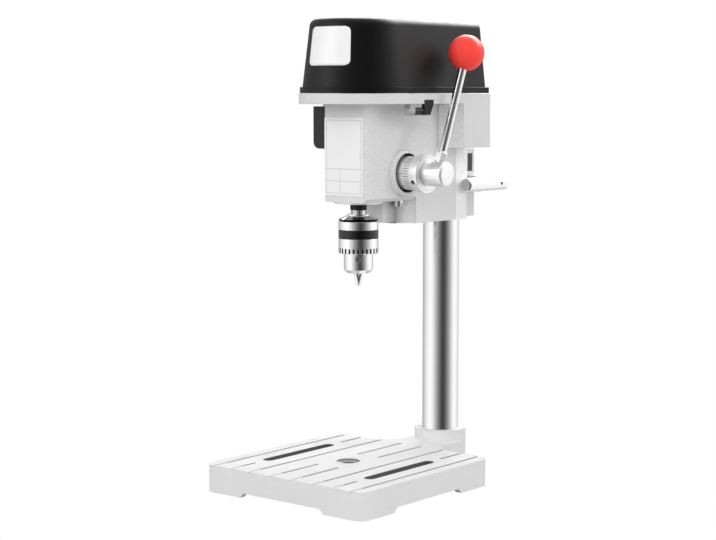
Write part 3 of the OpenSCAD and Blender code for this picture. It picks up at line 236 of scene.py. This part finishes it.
def surface(name, color, rough, grain, tint, bump, metal=0.0, specular=0.5, wear_tint=0.04, rough_swing=0.08,
            lines=None, pits=0.0, cast_and_lit_zone=None, patches=()):
    """Painted, moulded or metal finish: fine grain and broad wear, and if asked lines, pits and patches."""
    material = bpy.data.materials.new(name)
    tree = Tree(material)
    place = tree.node("ShaderNodeTexCoord").outputs["Object"]
    fine_place = place
    if lines:
        squeeze = tuple(1.0 if axis == lines else LINE_SQUEEZE for axis in "xyz")
        fine_place = tree.vector("MULTIPLY", in0=place, in1=squeeze)["Vector"]
    fine = tree.noise(fine_place, grain, detail=3.0, rough=0.55)
    broad = tree.noise(place, WEAR_SCALE, detail=4.0, rough=0.6, distort=0.4)
    base = tree.mix(tree.span(fine, *FINE_STRETCH, 0, 1), shade(color, 1 - tint), shade(color, 1 + tint))
    base = tree.mix(tree.span(broad, *WEAR_STRETCH, 0, 1), base, shade(color, 1 - wear_tint))
    height = fine
    if pits:
        base, spots = pitted(tree, place, base, color, grain, pits)
        height = tree.math("SUBTRACT", height, spots)
    if cast_and_lit_zone:
        base, relief = cast_skin_with_light(tree, place, base, color, *cast_and_lit_zone)
        height = tree.math("ADD", height, relief)
    for paint in patches:
        base = paint(tree, place, base)
    roughness = tree.span(broad, *ROUGH_STRETCH, rough - rough_swing, rough + rough_swing)
    normal = tree.node("ShaderNodeBump", Height=height, Distance=bump, Strength=BUMP_STRENGTH).outputs[0]
    shader = tree.node("ShaderNodeBsdfPrincipled", Base_Color=base, Roughness=roughness, Metallic=metal,
                       Specular_IOR_Level=specular, Normal=normal)
    tree.node("ShaderNodeOutputMaterial", Surface=shader.outputs[0])
    return material


# Base: painted shade, darker on the groove floors and in the hole, flat dark grey under the table and in its
# slots
TABLE_HALF = BASE_HIGH[0]
TABLE_FRONT = BASE_LOW[1]
TABLE_BACK = TABLE_FRONT + 2 * TABLE_HALF
TABLE_RIM = 0.0065
TABLE_SKIN = 0.0025
GROOVE_REACH = TABLE_HALF - 0.0035
GROOVE_FRONT, GROOVE_BACK = -0.198, -0.0322
GROOVE_FLOOR, GROOVE_EDGE = TABLE_TOP - 0.0022, TABLE_TOP - 0.00012
GROOVE_PAINTED_SHADE = 0.62
HOLE_REACH = 0.014
HOLE_FLOOR = 0.01
HOLE_PAINTED_SHADE = 0.6
SLOT_X, SLOT_REACH = 0.055, 0.006
SLOT_FRONT, SLOT_BACK = -0.173, -0.084
SLOT_EDGE = TABLE_TOP - 0.00006
UNDER = -0.001
TABLE_HOLLOW_SHADE = 0.09
TABLE_PATCHES = (
    # Painted shade: darker groove floors and hole
    painted_light_or_shade((-GROOVE_REACH, GROOVE_FRONT, GROOVE_FLOOR), (GROOVE_REACH, GROOVE_BACK, GROOVE_EDGE),
          GROOVE_PAINTED_SHADE, GROOVE_PAINTED_SHADE),
    painted_light_or_shade((-HOLE_REACH, SPINDLE_Y - HOLE_REACH, HOLE_FLOOR),
          (HOLE_REACH, SPINDLE_Y + HOLE_REACH, GROOVE_EDGE), HOLE_PAINTED_SHADE, HOLE_PAINTED_SHADE),
    # Painted shade: flat dark grey under the table and in its slots
    flat_grey((TABLE_RIM - TABLE_HALF, TABLE_FRONT + TABLE_RIM, UNDER),
         (TABLE_HALF - TABLE_RIM, TABLE_BACK - TABLE_RIM, TABLE_TOP - TABLE_SKIN), TABLE_HOLLOW_SHADE),
    *(flat_grey((x - SLOT_REACH, SLOT_FRONT, UNDER), (x + SLOT_REACH, SLOT_BACK, SLOT_EDGE), TABLE_HOLLOW_SHADE)
      for x in (-SLOT_X, SLOT_X)),
)

# Head: painted light and shade on the web and column boss, painted shade in the clamp slit, window and dial
# recess
WEB_HALF, WEB_LOW, WEB_HIGH = 0.0222, 0.2208, 0.2402
WEB_PAINTED_SHADING = ((-0.0960, -0.0936, 1.3, 1.3), (-0.0936, -0.0780, 0.85, 0.36), (-0.0780, -0.0652, 0.34, 1.15))
COLUMN_BOSS = ((-0.03, -0.0084, 0.21), (0.03, 0.0165, 0.2836))
BOSS_PAINTED_LIGHT = 1.24
CLAMP_SLIT = ((-0.0016, 0.0162, 0.21), (0.0016, 0.0365, 0.29))
CLAMP_WINDOW = ((0.001, 0.0267, 0.2609), (0.0087, 0.0344, 0.2773))
CLAMP_PAINTED_SHADE = 0.3
RECESS_R = 0.0166
RECESS_FLOOR, RECESS_EDGE = DIAL_LOW[0] - 0.003, DIAL_LOW[0] + 0.012
RECESS_PAINTED_SHADE = 0.0876
HEAD_PATCHES = (
    # Painted shade and light along the web, from front to back
    *(painted_light_or_shade((-WEB_HALF, start, WEB_LOW), (WEB_HALF, end, WEB_HIGH), front, back)
      for start, end, front, back in WEB_PAINTED_SHADING),
    # Painted light: the column boss paint made lighter
    painted_light_or_shade(*COLUMN_BOSS, BOSS_PAINTED_LIGHT, BOSS_PAINTED_LIGHT),
    # Painted shade: flat grey in the clamp slit and window
    flat_grey(*CLAMP_SLIT, CLAMP_PAINTED_SHADE),
    flat_grey(*CLAMP_WINDOW, CLAMP_PAINTED_SHADE),
    # Painted shade: dark grey in the dial's recess
    round_recess_shade(FEED_AXIS, RECESS_R, RECESS_FLOOR, RECESS_EDGE, RECESS_PAINTED_SHADE),
)

# Tray: coarse casting grain with painted light on the front of its rear box, and painted shade on the latch's
# lug
BOX_FRONT = ((-0.049, -0.036, 0.28), (0.049, -0.0335, 0.3212))
PIN_X, PIN_Z = (PIN_LOW[0] + PIN_HIGH[0]) / 2, (PIN_LOW[2] + PIN_HIGH[2]) / 2
LUG_REACH, LUG_TOP = 0.005, 0.0059
LUG_FRONT, LUG_BACK = PIN_LOW[1] - 0.001, PIN_LOW[1] + 0.0085
LUG_PAINTED_SHADE = 0.33
# Painted shade: flat darker grey on the latch's lug
LATCH_LUG = flat_grey((PIN_X - LUG_REACH, LUG_FRONT, PIN_Z - LUG_REACH),
                 (PIN_X + LUG_REACH, LUG_BACK, PIN_Z + LUG_TOP), LUG_PAINTED_SHADE)

# Chuck and clamp bar: a black rim over the chuck's body as painted shade, and a darker front end of the bar
RIM_REACH = 0.0175
RIM_LOW, RIM_HIGH = 0.2246, 0.2262
RIM_PAINTED_SHADE = 0.01
# Painted shade: near black on the rim over the chuck's body
CHUCK_RIM_SHADE = flat_grey((-RIM_REACH, SPINDLE_Y - RIM_REACH, RIM_LOW),
                 (RIM_REACH, SPINDLE_Y + RIM_REACH, RIM_HIGH), RIM_PAINTED_SHADE)
BAR_MARGIN, BAR_SKIN = 0.001, 0.0001
BAR_END_DARK = 0.6
# Flat darker grey on the bar's front end
BAR_END = flat_grey([corner - BAR_MARGIN for corner in BAR_LOW],
               (BAR_HIGH[0] + BAR_MARGIN, BAR_LOW[1] + BAR_SKIN, BAR_HIGH[2] + BAR_MARGIN), BAR_END_DARK)

# Finish of each material slot of the record
CHROME_TINT = (0.90, 0.90, 0.91)
BRIGHT_TINT = (0.93, 0.93, 0.94)
FINISH = {
    "base_paint": surface("base paint", grey(0.78), 0.6, grain=520, tint=0.03, bump=0.00015, pits=0.07,
                          specular=0.2, patches=TABLE_PATCHES),
    "head_paint": surface("head paint", grey(0.73), 0.5, grain=620, tint=0.12, bump=0.0003, pits=0.25,
                          specular=0.35, patches=HEAD_PATCHES),
    "tray_paint": surface("tray paint", (0.68, 0.68, 0.685), 0.42, grain=900, tint=0.02, bump=0.00006,
                          cast_and_lit_zone=BOX_FRONT, patches=(LATCH_LUG,)),
    "chrome": surface("chrome", CHROME_TINT, 0.14, grain=2600, tint=0.02, bump=0.00001, metal=1.0,
                      rough_swing=0.03, lines="z"),
    "steel": surface("steel", (0.60, 0.60, 0.61), 0.3, grain=2400, tint=0.06, bump=0.00003, metal=1.0),
    "dark_steel": surface("dark steel", (0.03, 0.03, 0.032), 0.38, grain=1500, tint=0.2, bump=0.00004,
                          metal=0.6),
    "machined_alloy": surface("machined alloy", grey(0.93), 0.36, grain=2600, tint=0.05, bump=0.00003,
                              metal=0.75, lines="x"),
    "bronze": surface("bronze", (0.62, 0.40, 0.19), 0.35, grain=1800, tint=0.08, bump=0.00004, metal=1.0),
    "black_plastic": surface("black plastic", (0.012, 0.012, 0.0125), 0.42, grain=1500, tint=0.15,
                             bump=0.00004, wear_tint=0.15, specular=0.28),
    "red_ball": surface("red ball", (1.0, 0.062, 0.048), 0.42, grain=240, tint=0.03, bump=0.00001,
                        rough_swing=0.04, specular=0.3),
    "rocker_key": surface("rocker key", (0.02, 0.02, 0.022), 0.2, grain=1200, tint=0.1, bump=0.00001),
    "belt_rubber": surface("belt rubber", grey(0.02), 0.75, grain=1300, tint=0.25, bump=0.00008),
    "pale_plate": surface("pale plate", grey(0.86), 0.34, grain=2200, tint=0.015, bump=0.00001),
    "white_plastic": surface("white plastic", (0.80, 0.79, 0.76), 0.45, grain=900, tint=0.03, bump=0.00003),
    "yellow_film": surface("yellow film", (0.70, 0.48, 0.05), 0.3, grain=700, tint=0.05, bump=0.00003),
}

# Finishes of single nodes that differ from their slot's usual one
POLISHED_JAW = surface("polished jaw", BRIGHT_TINT, 0.16, grain=2600, tint=0.03, bump=0.00001, metal=1.0,
                       rough_swing=0.03)
NODE_FINISH = {
    "sleeve_band": surface("gloss black", grey(0.004), 0.16, grain=1200, tint=0.2, bump=0.00001,
                           rough_swing=0.03),
    "belt_cover": surface("cover black", (0.004, 0.004, 0.0042), 0.45, grain=1500, tint=0.15, bump=0.00003,
                          wear_tint=0.15, specular=0.22),
    "chuck_sleeve": surface("polished sleeve", BRIGHT_TINT, 0.13, grain=2600, tint=0.02, bump=0.00001,
                            metal=1.0, rough_swing=0.03, lines="z"),
    "chuck_body": surface("polished body", BRIGHT_TINT, 0.13, grain=2600, tint=0.02, bump=0.00001, metal=1.0,
                          rough_swing=0.03, lines="z", patches=(CHUCK_RIM_SHADE,)),
    "lever_rod": surface("bright rod", CHROME_TINT, 0.1, grain=2200, tint=0.02, bump=0.00001, metal=1.0,
                         rough_swing=0.03),
    "jaw_1": POLISHED_JAW,
    "jaw_2": POLISHED_JAW,
    "jaw_3": POLISHED_JAW,
    "bush_lock_screw": surface("bright screw", BRIGHT_TINT, 0.18, grain=2000, tint=0.03, bump=0.00002,
                               metal=1.0),
    "latch_pin": surface("dull pin", (0.38, 0.38, 0.39), 0.4, grain=1800, tint=0.08, bump=0.00003, metal=0.8),
    "lever_nut": surface("bright nut", (0.92, 0.92, 0.93), 0.34, grain=2000, tint=0.04, bump=0.00002,
                         metal=0.7),
    "clamp_bar": surface("satin chrome", BRIGHT_TINT, 0.28, grain=2400, tint=0.04, bump=0.00002, metal=1.0,
                         lines="y", patches=(BAR_END,)),
}

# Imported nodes: finish, clean shading and softened edges
USUAL_EDGE = 0.0003
EDGE = {
    "base_plate": 0.0014, "head_casting": 0.0016, "belt_tray": 0.0007, "belt_cover": 0.0008,
    "cover_latch": 0.0004, "switch_box": 0.0012, "switch_rocker": 0.0004, "nameplate": 0.0001,
    "chuck_sleeve": 0.0002, "chuck_body": 0.00025, "depth_dial": 0.0001, "feed_hub": 0.0005,
    "feed_pinion": 0.0001, "quill": 0.00012,
}
SEAM_GAP = 0.00001
SMOOTH_ANGLE = math.radians(26)
BEVEL_ANGLE = math.radians(32)
BEVEL_STEPS = 2


def shading_group():
    """Joins the mesh's seams, then shades it smooth except across edges sharper than the smooth angle."""
    group = bpy.data.node_groups.new("clean shading", "GeometryNodeTree")
    for in_out in ("INPUT", "OUTPUT"):
        group.interface.new_socket("Geometry", in_out=in_out, socket_type="NodeSocketGeometry")
    add, link = group.nodes.new, group.links.new
    start = add("NodeGroupInput")
    end = add("NodeGroupOutput")
    merge = add("GeometryNodeMergeByDistance")
    merge.inputs["Distance"].default_value = SEAM_GAP
    drop = add("GeometryNodeRemoveAttribute")
    drop.inputs["Name"].default_value = "custom_normal"
    faces = add("GeometryNodeSetShadeSmooth")
    faces.domain = "FACE"
    faces.inputs["Shade Smooth"].default_value = True
    edges = add("GeometryNodeSetShadeSmooth")
    edges.domain = "EDGE"
    edges.inputs["Shade Smooth"].default_value = False
    angle = add("GeometryNodeInputMeshEdgeAngle")
    sharp = add("FunctionNodeCompare")
    sharp.data_type = "FLOAT"
    sharp.operation = "GREATER_THAN"
    sharp.inputs[1].default_value = SMOOTH_ANGLE
    link(start.outputs[0], merge.inputs["Geometry"])
    link(merge.outputs[0], drop.inputs["Geometry"])
    link(drop.outputs[0], faces.inputs["Geometry"])
    link(faces.outputs[0], edges.inputs["Geometry"])
    link(angle.outputs["Unsigned Angle"], sharp.inputs[0])
    link(sharp.outputs[0], edges.inputs["Selection"])
    link(edges.outputs[0], end.inputs[0])
    return group


SHADING = shading_group()


def soften(node, width):
    node.modifiers.new("shading", "NODES").node_group = SHADING
    bevel = node.modifiers.new("edges", "BEVEL")
    bevel.width = width
    bevel.segments = BEVEL_STEPS
    bevel.limit_method = "ANGLE"
    bevel.angle_limit = BEVEL_ANGLE
    bevel.use_clamp_overlap = True
    bevel.harden_normals = True


for entry in frame["record"]["subparts"]:
    node = NODES[entry["node"]]
    node.data.materials.clear()
    node.data.materials.append(NODE_FINISH.get(entry["node"], FINISH[entry["material_slot"]]))
    soften(node, EDGE.get(entry["node"], USUAL_EDGE))
# The chrome shows the plain room down to its foot, without the table's mirror image
NODES["base_plate"].visible_glossy = False


# Mesh pieces
def mesh_object(name, verts, faces, material, body, smooth=True):
    """A new piece that rides on a body, with the given finish."""
    mesh = bpy.data.meshes.new(name)
    mesh.from_pydata([tuple(v) for v in verts], [], faces)
    mesh.update()
    for polygon in mesh.polygons:
        polygon.use_smooth = smooth
    mesh.materials.append(material)
    piece = add_object(name, mesh)
    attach(piece, body)
    return piece


BOX_FACES = ((0, 1, 3, 2), (4, 6, 7, 5), (0, 4, 5, 1), (2, 3, 7, 6), (1, 5, 7, 3), (0, 2, 6, 4))


def add_box(verts, faces, spans, origin=Vector((0, 0, 0)), turn=Matrix.Identity(3)):
    """Adds a box with these spans along X, Y and Z, turned and then moved to the origin."""
    first = len(verts)
    verts += [origin + turn @ Vector(corner) for corner in itertools.product(*spans)]
    faces += [tuple(first + k for k in face) for face in BOX_FACES]


# The cover's round nose, which narrows upwards, and the label on it
NOSE_LOW, NOSE_HIGH = 0.3354, 0.385
NOSE_LOW_R, NOSE_HIGH_R = 0.0464, 0.0405
LABEL_LOW, LABEL_HIGH = 0.3527, 0.3842
LABEL_MIDDLE, LABEL_HALF = math.radians(-87), math.radians(28)
LABEL_CORNER = 0.0045
LABEL_R = 0.0433
LABEL_FACE, LABEL_BACK = 0.0003, -0.0004
LABEL_COLS, LABEL_ROWS = 40, 24


def nose_point(angle, z, off):
    """A point off the nose's surface, at an angle round the spindle and a height."""
    r = NOSE_LOW_R + (NOSE_HIGH_R - NOSE_LOW_R) * (z - NOSE_LOW) / (NOSE_HIGH - NOSE_LOW) + off
    return Vector((r * math.cos(angle), SPINDLE_Y + r * math.sin(angle), z))


def label_reach(z):
    """Half the label's angle at a height, less where its corners are round."""
    from_end = min(z - LABEL_LOW, LABEL_HIGH - z)
    if from_end >= LABEL_CORNER:
        return LABEL_HALF
    inset = LABEL_CORNER - math.sqrt(max(0.0, LABEL_CORNER ** 2 - (LABEL_CORNER - from_end) ** 2))
    return LABEL_HALF - inset / LABEL_R


def bare_label():
    """Blank white label that follows the cover's nose, with rounded corners."""
    verts, faces = [], []
    for side in (LABEL_FACE, LABEL_BACK):
        for i in range(LABEL_ROWS + 1):
            z = LABEL_LOW + (LABEL_HIGH - LABEL_LOW) * i / LABEL_ROWS
            reach = label_reach(z)
            for j in range(LABEL_COLS + 1):
                verts.append(nose_point(LABEL_MIDDLE - reach + 2 * reach * j / LABEL_COLS, z, side))
    row = LABEL_COLS + 1
    count = row * (LABEL_ROWS + 1)
    for i in range(LABEL_ROWS):
        for j in range(LABEL_COLS):
            a = i * row + j
            b = a + row
            faces.append((a, a + 1, b + 1, b))
            faces.append((count + a, count + b, count + b + 1, count + a + 1))
    rim = list(range(row))
    rim += [(i + 1) * row - 1 for i in range(1, LABEL_ROWS + 1)]
    rim += [LABEL_ROWS * row + j for j in range(LABEL_COLS - 1, -1, -1)]
    rim += [i * row for i in range(LABEL_ROWS - 1, 0, -1)]
    for a, b in zip(rim, rim[1:] + rim[:1]):
        faces.append((b, a, count + a, count + b))
    mesh_object("cover_label", verts, faces, FINISH["pale_plate"], "belt_cover")


bare_label()

RULE_INSET = 0.0022
RULE_HALF = 0.00015
RULE_RISE, RULE_DEPTH = 0.00004, 0.0001
RULE_ROWS = 6
RULE_SPLIT = 0.4


def plate_rules():
    """Printed rules of a blank data plate: a border and two empty rows with a split, in grey ink."""
    left, right = PLATE_LOW[0] + RULE_INSET, PLATE_HIGH[0] - RULE_INSET
    bottom, top = PLATE_LOW[2] + RULE_INSET, PLATE_HIGH[2] - RULE_INSET
    split = left + (right - left) * RULE_SPLIT
    row = (top - bottom) / RULE_ROWS
    depth = (PLATE_LOW[1] - RULE_RISE, PLATE_LOW[1] + RULE_DEPTH)
    verts, faces = [], []
    for i in (0, 1, 2, RULE_ROWS):
        z = bottom + row * i
        add_box(verts, faces, ((left, right), depth, (z - RULE_HALF, z + RULE_HALF)))
    for x, end in ((left, top), (right, top), (split, bottom + 2 * row)):
        add_box(verts, faces, ((x - RULE_HALF, x + RULE_HALF), depth, (bottom, end)))
    ink = surface("grey ink", grey(0.42), 0.5, grain=1800, tint=0.1, bump=0.00001)
    mesh_object("plate_rules", verts, faces, ink, "head", smooth=False)


plate_rules()

# The lever leans back and out from the hub, and carries the ball
LEVER_BACK = math.radians(17.2)
LEVER_OUT = math.radians(3.6)
LEVER = Vector((math.sin(LEVER_OUT), math.cos(LEVER_OUT) * math.sin(LEVER_BACK),
                math.cos(LEVER_OUT) * math.cos(LEVER_BACK)))
LEVER_SHARE = 0.47
LEVER_X = HUB_LOW[0] + LEVER_SHARE * (HUB_HIGH[0] - HUB_LOW[0])
BALL_R = 0.015
BALL_FLAT = math.radians(18)
BALL_TIP_R = 0.00002
BALL_REACH = 0.1046
BALL_RINGS, BALL_SIDES = 64, 96


def ball():
    """Ball with a small flat where the rod enters, turned about the lever."""
    centre = FEED_AXIS + Vector((LEVER_X, 0, 0)) + LEVER * BALL_REACH
    turn = Vector((0, 0, 1)).rotation_difference(LEVER).to_matrix()
    verts, faces = [], []
    for i in range(BALL_RINGS + 1):
        polar = BALL_FLAT + (math.pi - BALL_FLAT) * i / BALL_RINGS
        r = max(BALL_R * math.sin(polar), BALL_TIP_R)
        for k in range(BALL_SIDES):
            angle = 2 * math.pi * k / BALL_SIDES
            point = Vector((r * math.cos(angle), r * math.sin(angle), -BALL_R * math.cos(polar)))
            verts.append(centre + turn @ point)
    for i in range(BALL_RINGS):
        for k in range(BALL_SIDES):
            a, b = i * BALL_SIDES + k, i * BALL_SIDES + (k + 1) % BALL_SIDES
            faces.append((a, b, b + BALL_SIDES, a + BALL_SIDES))
    faces.append(tuple(reversed(range(BALL_SIDES))))
    faces.append(tuple(range(BALL_RINGS * BALL_SIDES, (BALL_RINGS + 1) * BALL_SIDES)))
    piece = mesh_object("ball", verts, faces, FINISH["red_ball"], "feed")
    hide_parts("ball_knob")


ball()

MARK_COUNT, MARK_GROUP = 40, 5
MARK_SHARE = 0.68
MARK_BAND = MARK_SHARE * (DIAL_HIGH[0] - DIAL_LOW[0])
MARK_START, LONG_MARK_START = 0.7, 0.5
MARK_HALF = 0.0002
MARK_FLOOR, MARK_FACE = 0.0138, 0.01421


def dial_marks():
    """Black filling in the dial's graduation grooves, every fifth one longer."""
    verts, faces = [], []
    for i in range(MARK_COUNT):
        start = LONG_MARK_START if i % MARK_GROUP == 0 else MARK_START
        along = (DIAL_LOW[0] + MARK_BAND * start, DIAL_LOW[0] + MARK_BAND)
        turn = Matrix.Rotation(2 * math.pi * i / MARK_COUNT, 3, "X")
        add_box(verts, faces, (along, (-MARK_HALF, MARK_HALF), (MARK_FLOOR, MARK_FACE)), FEED_AXIS, turn)
    mesh_object("dial_marks", verts, faces, FINISH["dark_steel"], "dial", smooth=False)


dial_marks()

SPINDLE = Vector((0, SPINDLE_Y, 0))
TOOTH_COUNT = 28
SLEEVE_R = (SLEEVE_HIGH[0] - SLEEVE_LOW[0]) / 2
GAP_DEPTH = (SLEEVE_R - 0.0031, SLEEVE_R - 0.0009)
GAP_WIDTH = (-0.00084, 0.00084)
GAP_HEIGHT = (SLEEVE_LOW[2] + 0.0004, SLEEVE_LOW[2] + 0.0038)


def tooth_gap_shade():
    """Painted shade: dark boxes at the foot of the gaps between the sleeve's teeth."""
    verts, faces = [], []
    for i in range(TOOTH_COUNT):
        turn = Matrix.Rotation(2 * math.pi * i / TOOTH_COUNT, 3, "Z")
        add_box(verts, faces, (GAP_DEPTH, GAP_WIDTH, GAP_HEIGHT), SPINDLE, turn)
    mesh_object("tooth_gap_shade", verts, faces, FINISH["dark_steel"], "chuck_sleeve", smooth=False)


tooth_gap_shade()

RIB_FILL = 0.45
RIB_CROWN = 0.5
RIB_ROOT = 0.0003
RIB_EASE = 0.0003
RIB_END_RISE = 0.25


def ribs(name, r, low, high, count, rise, material):
    """Fine upright ribs round the spindle, which ease off at both ends."""
    half = math.pi * r / count * RIB_FILL
    stations = ((low, RIB_END_RISE), (low + RIB_EASE, 1.0), (high - RIB_EASE, 1.0), (high, RIB_END_RISE))
    verts, faces = [], []
    for i in range(count):
        turn = Matrix.Rotation(2 * math.pi * i / count, 3, "Z")
        first = len(verts)
        for z, share in stations:
            crown = r + rise * share
            for x, y in ((r - RIB_ROOT, -half), (crown, -half * RIB_CROWN), (crown, half * RIB_CROWN),
                         (r - RIB_ROOT, half)):
                verts.append(SPINDLE + turn @ Vector((x, y, z)))
        faces.append((first, first + 3, first + 2, first + 1))
        for k, j in itertools.product(range(3), range(4)):
            a, b = first + 4 * k + j, first + 4 * k + (j + 1) % 4
            faces.append((a, b, b + 4, a + 4))
        faces.append((first + 12, first + 13, first + 14, first + 15))
    mesh_object(name, verts, faces, material, "spindle", smooth=False)


COLLAR_R = (COLLAR_HIGH[0] - COLLAR_LOW[0]) / 2
KNURL_SHARE = 0.06
KNURL_INSET = KNURL_SHARE * (COLLAR_HIGH[2] - COLLAR_LOW[2])
KNURL_COUNT, KNURL_RISE = 36, 0.0002
ribs("collar_knurl", COLLAR_R, COLLAR_LOW[2] + KNURL_INSET, COLLAR_HIGH[2] - KNURL_INSET,
     KNURL_COUNT, KNURL_RISE, FINISH["dark_steel"])
NECK_R = 0.0062
NECK_LOW, NECK_HIGH = COLLAR_LOW[2] - 0.0034, COLLAR_LOW[2] - 0.0002
NECK_COUNT, NECK_RISE = 20, 0.0003
ribs("neck_ribs", NECK_R, NECK_LOW, NECK_HIGH, NECK_COUNT, NECK_RISE, FINISH["chrome"])

# Floor and lamps
FLOOR_HALF = 3.0
FLOOR_Z = -0.0004


def pale_floor():
    """Plain floor that only sends light back: the world gives the white behind the machine."""
    mesh = bpy.data.meshes.new("floor")
    corners = ((-1, -1), (1, -1), (1, 1), (-1, 1))
    mesh.from_pydata([(FLOOR_HALF * x, FLOOR_HALF * y, FLOOR_Z) for x, y in corners], [], [(0, 1, 2, 3)])
    mesh.materials.append(surface("floor", grey(0.5), 0.8, grain=30, tint=0.01, bump=0.00001))
    floor = add_object("floor", mesh)
    floor.visible_camera = False
    floor.visible_glossy = False


pale_floor()

# Each lamp's name, place, target, side, watts, and whether mirror finishes show it
LAMPS = (
    ("key", (-0.75, -1.5, 0.85), (0, -0.1, 0.25), 0.9, 6.2, True),
    ("top", (0.1, 0.1, 1.7), (0, -0.1, 0.2), 1.0, 0.3, True),
    ("right", (1.35, 0.15, 0.5), (0, -0.08, 0.27), 0.7, 4.2, False),
    ("front", (0.75, -1.25, 0.8), (0, -0.1, 0.25), 0.8, 5.2, False),
)
for name, place, target, side, watts, mirrored in LAMPS:
    light = bpy.data.lights.new(name, "AREA")
    light.shape = "SQUARE"
    light.size = side
    light.energy = watts
    lamp = add_object(name, light)
    lamp.location = place
    aim(lamp, Vector(target) - Vector(place))
    lamp.visible_camera = False
    lamp.visible_glossy = mirrored

# Brightness of the room by the cosine to its dark side, and how much of it mirror finishes show
ROOM = ((-1.0, 0.40), (-0.87, 0.50), (-0.5, 0.80), (0.09, 1.0),
        (0.41, 0.84), (0.74, 0.41), (0.92, 0.17), (1.0, 0.05))
ROOM_GAIN = 1.13
DARK_SIDE = Matrix.Rotation(math.radians(13), 3, "Z") @ -FORWARD
CEILING = (0.45, 0.85)
SOFTBOX_POWER = 18.0
SOFTBOX_BACK, SOFTBOX_HIGH = (0.5, 0.68), (0.4, 0.52)
SOFT_LEFT, SOFT_RIGHT = 0.88, 0.85
SOFT_BELOW, SOFT_ABOVE = 0.78, 0.80
WHITE = (1, 1, 1, 1)


def mirror_room(sky, direction):
    """What mirror finishes show: a room dark behind the photographer and bright at its sides."""
    axes = sky.axes(direction)
    flat = sky.vector("MULTIPLY", in0=direction, in1=(1.0, 1.0, 0.0))["Vector"]
    flat = sky.vector("NORMALIZE", in0=flat)["Vector"]
    facing = sky.vector("DOT_PRODUCT", in0=flat, in1=DARK_SIDE)["Value"]
    room = sky.node("ShaderNodeValToRGB", Fac=sky.span(facing, -1, 1, 0, 1))
    stops = room.color_ramp.elements
    while len(stops) < len(ROOM):
        stops.new(0.5)
    for stop, (cosine, bright) in zip(stops, ROOM):
        stop.position = (cosine + 1) / 2
        stop.color = shade(grey(bright))
    walls = sky.math("MULTIPLY", room.outputs["Color"], ROOM_GAIN)
    walls_and_ceiling = sky.mix(sky.span(axes["Z"], *CEILING, 0, 1), walls, WHITE)
    # A bright softbox high behind the machine: the light line along the cover's upper edge
    softbox = sky.math("MULTIPLY", sky.span(axes["Y"], *SOFTBOX_BACK, 0, SOFTBOX_POWER),
                       sky.span(axes["Z"], *SOFTBOX_HIGH, 0, 1))
    return sky.math("ADD", walls_and_ceiling, softbox)


def studio():
    """World: even soft light, the room in mirror finishes, and plain white behind the machine."""
    world = bpy.data.worlds.new("studio")
    sky = Tree(world)
    direction = sky.node("ShaderNodeTexCoord").outputs["Generated"]
    axes = sky.axes(direction)
    soft_light = sky.math("MULTIPLY", sky.span(axes["X"], -1, 1, SOFT_LEFT, SOFT_RIGHT),
                          sky.span(axes["Z"], -1, 1, SOFT_BELOW, SOFT_ABOVE))
    rays = sky.node("ShaderNodeLightPath").outputs
    mirrored = sky.math("MULTIPLY", rays["Is Glossy Ray"], mirror_room(sky, direction))
    lit = sky.math("MULTIPLY", sky.math("SUBTRACT", 1.0, rays["Is Glossy Ray"]), soft_light)
    strength = sky.math("MAXIMUM", sky.math("ADD", mirrored, lit), rays["Is Camera Ray"])
    backdrop = sky.node("ShaderNodeBackground", Color=WHITE, Strength=strength)
    sky.node("ShaderNodeOutputWorld", Surface=backdrop.outputs[0])
    return world


scene.world = studio()
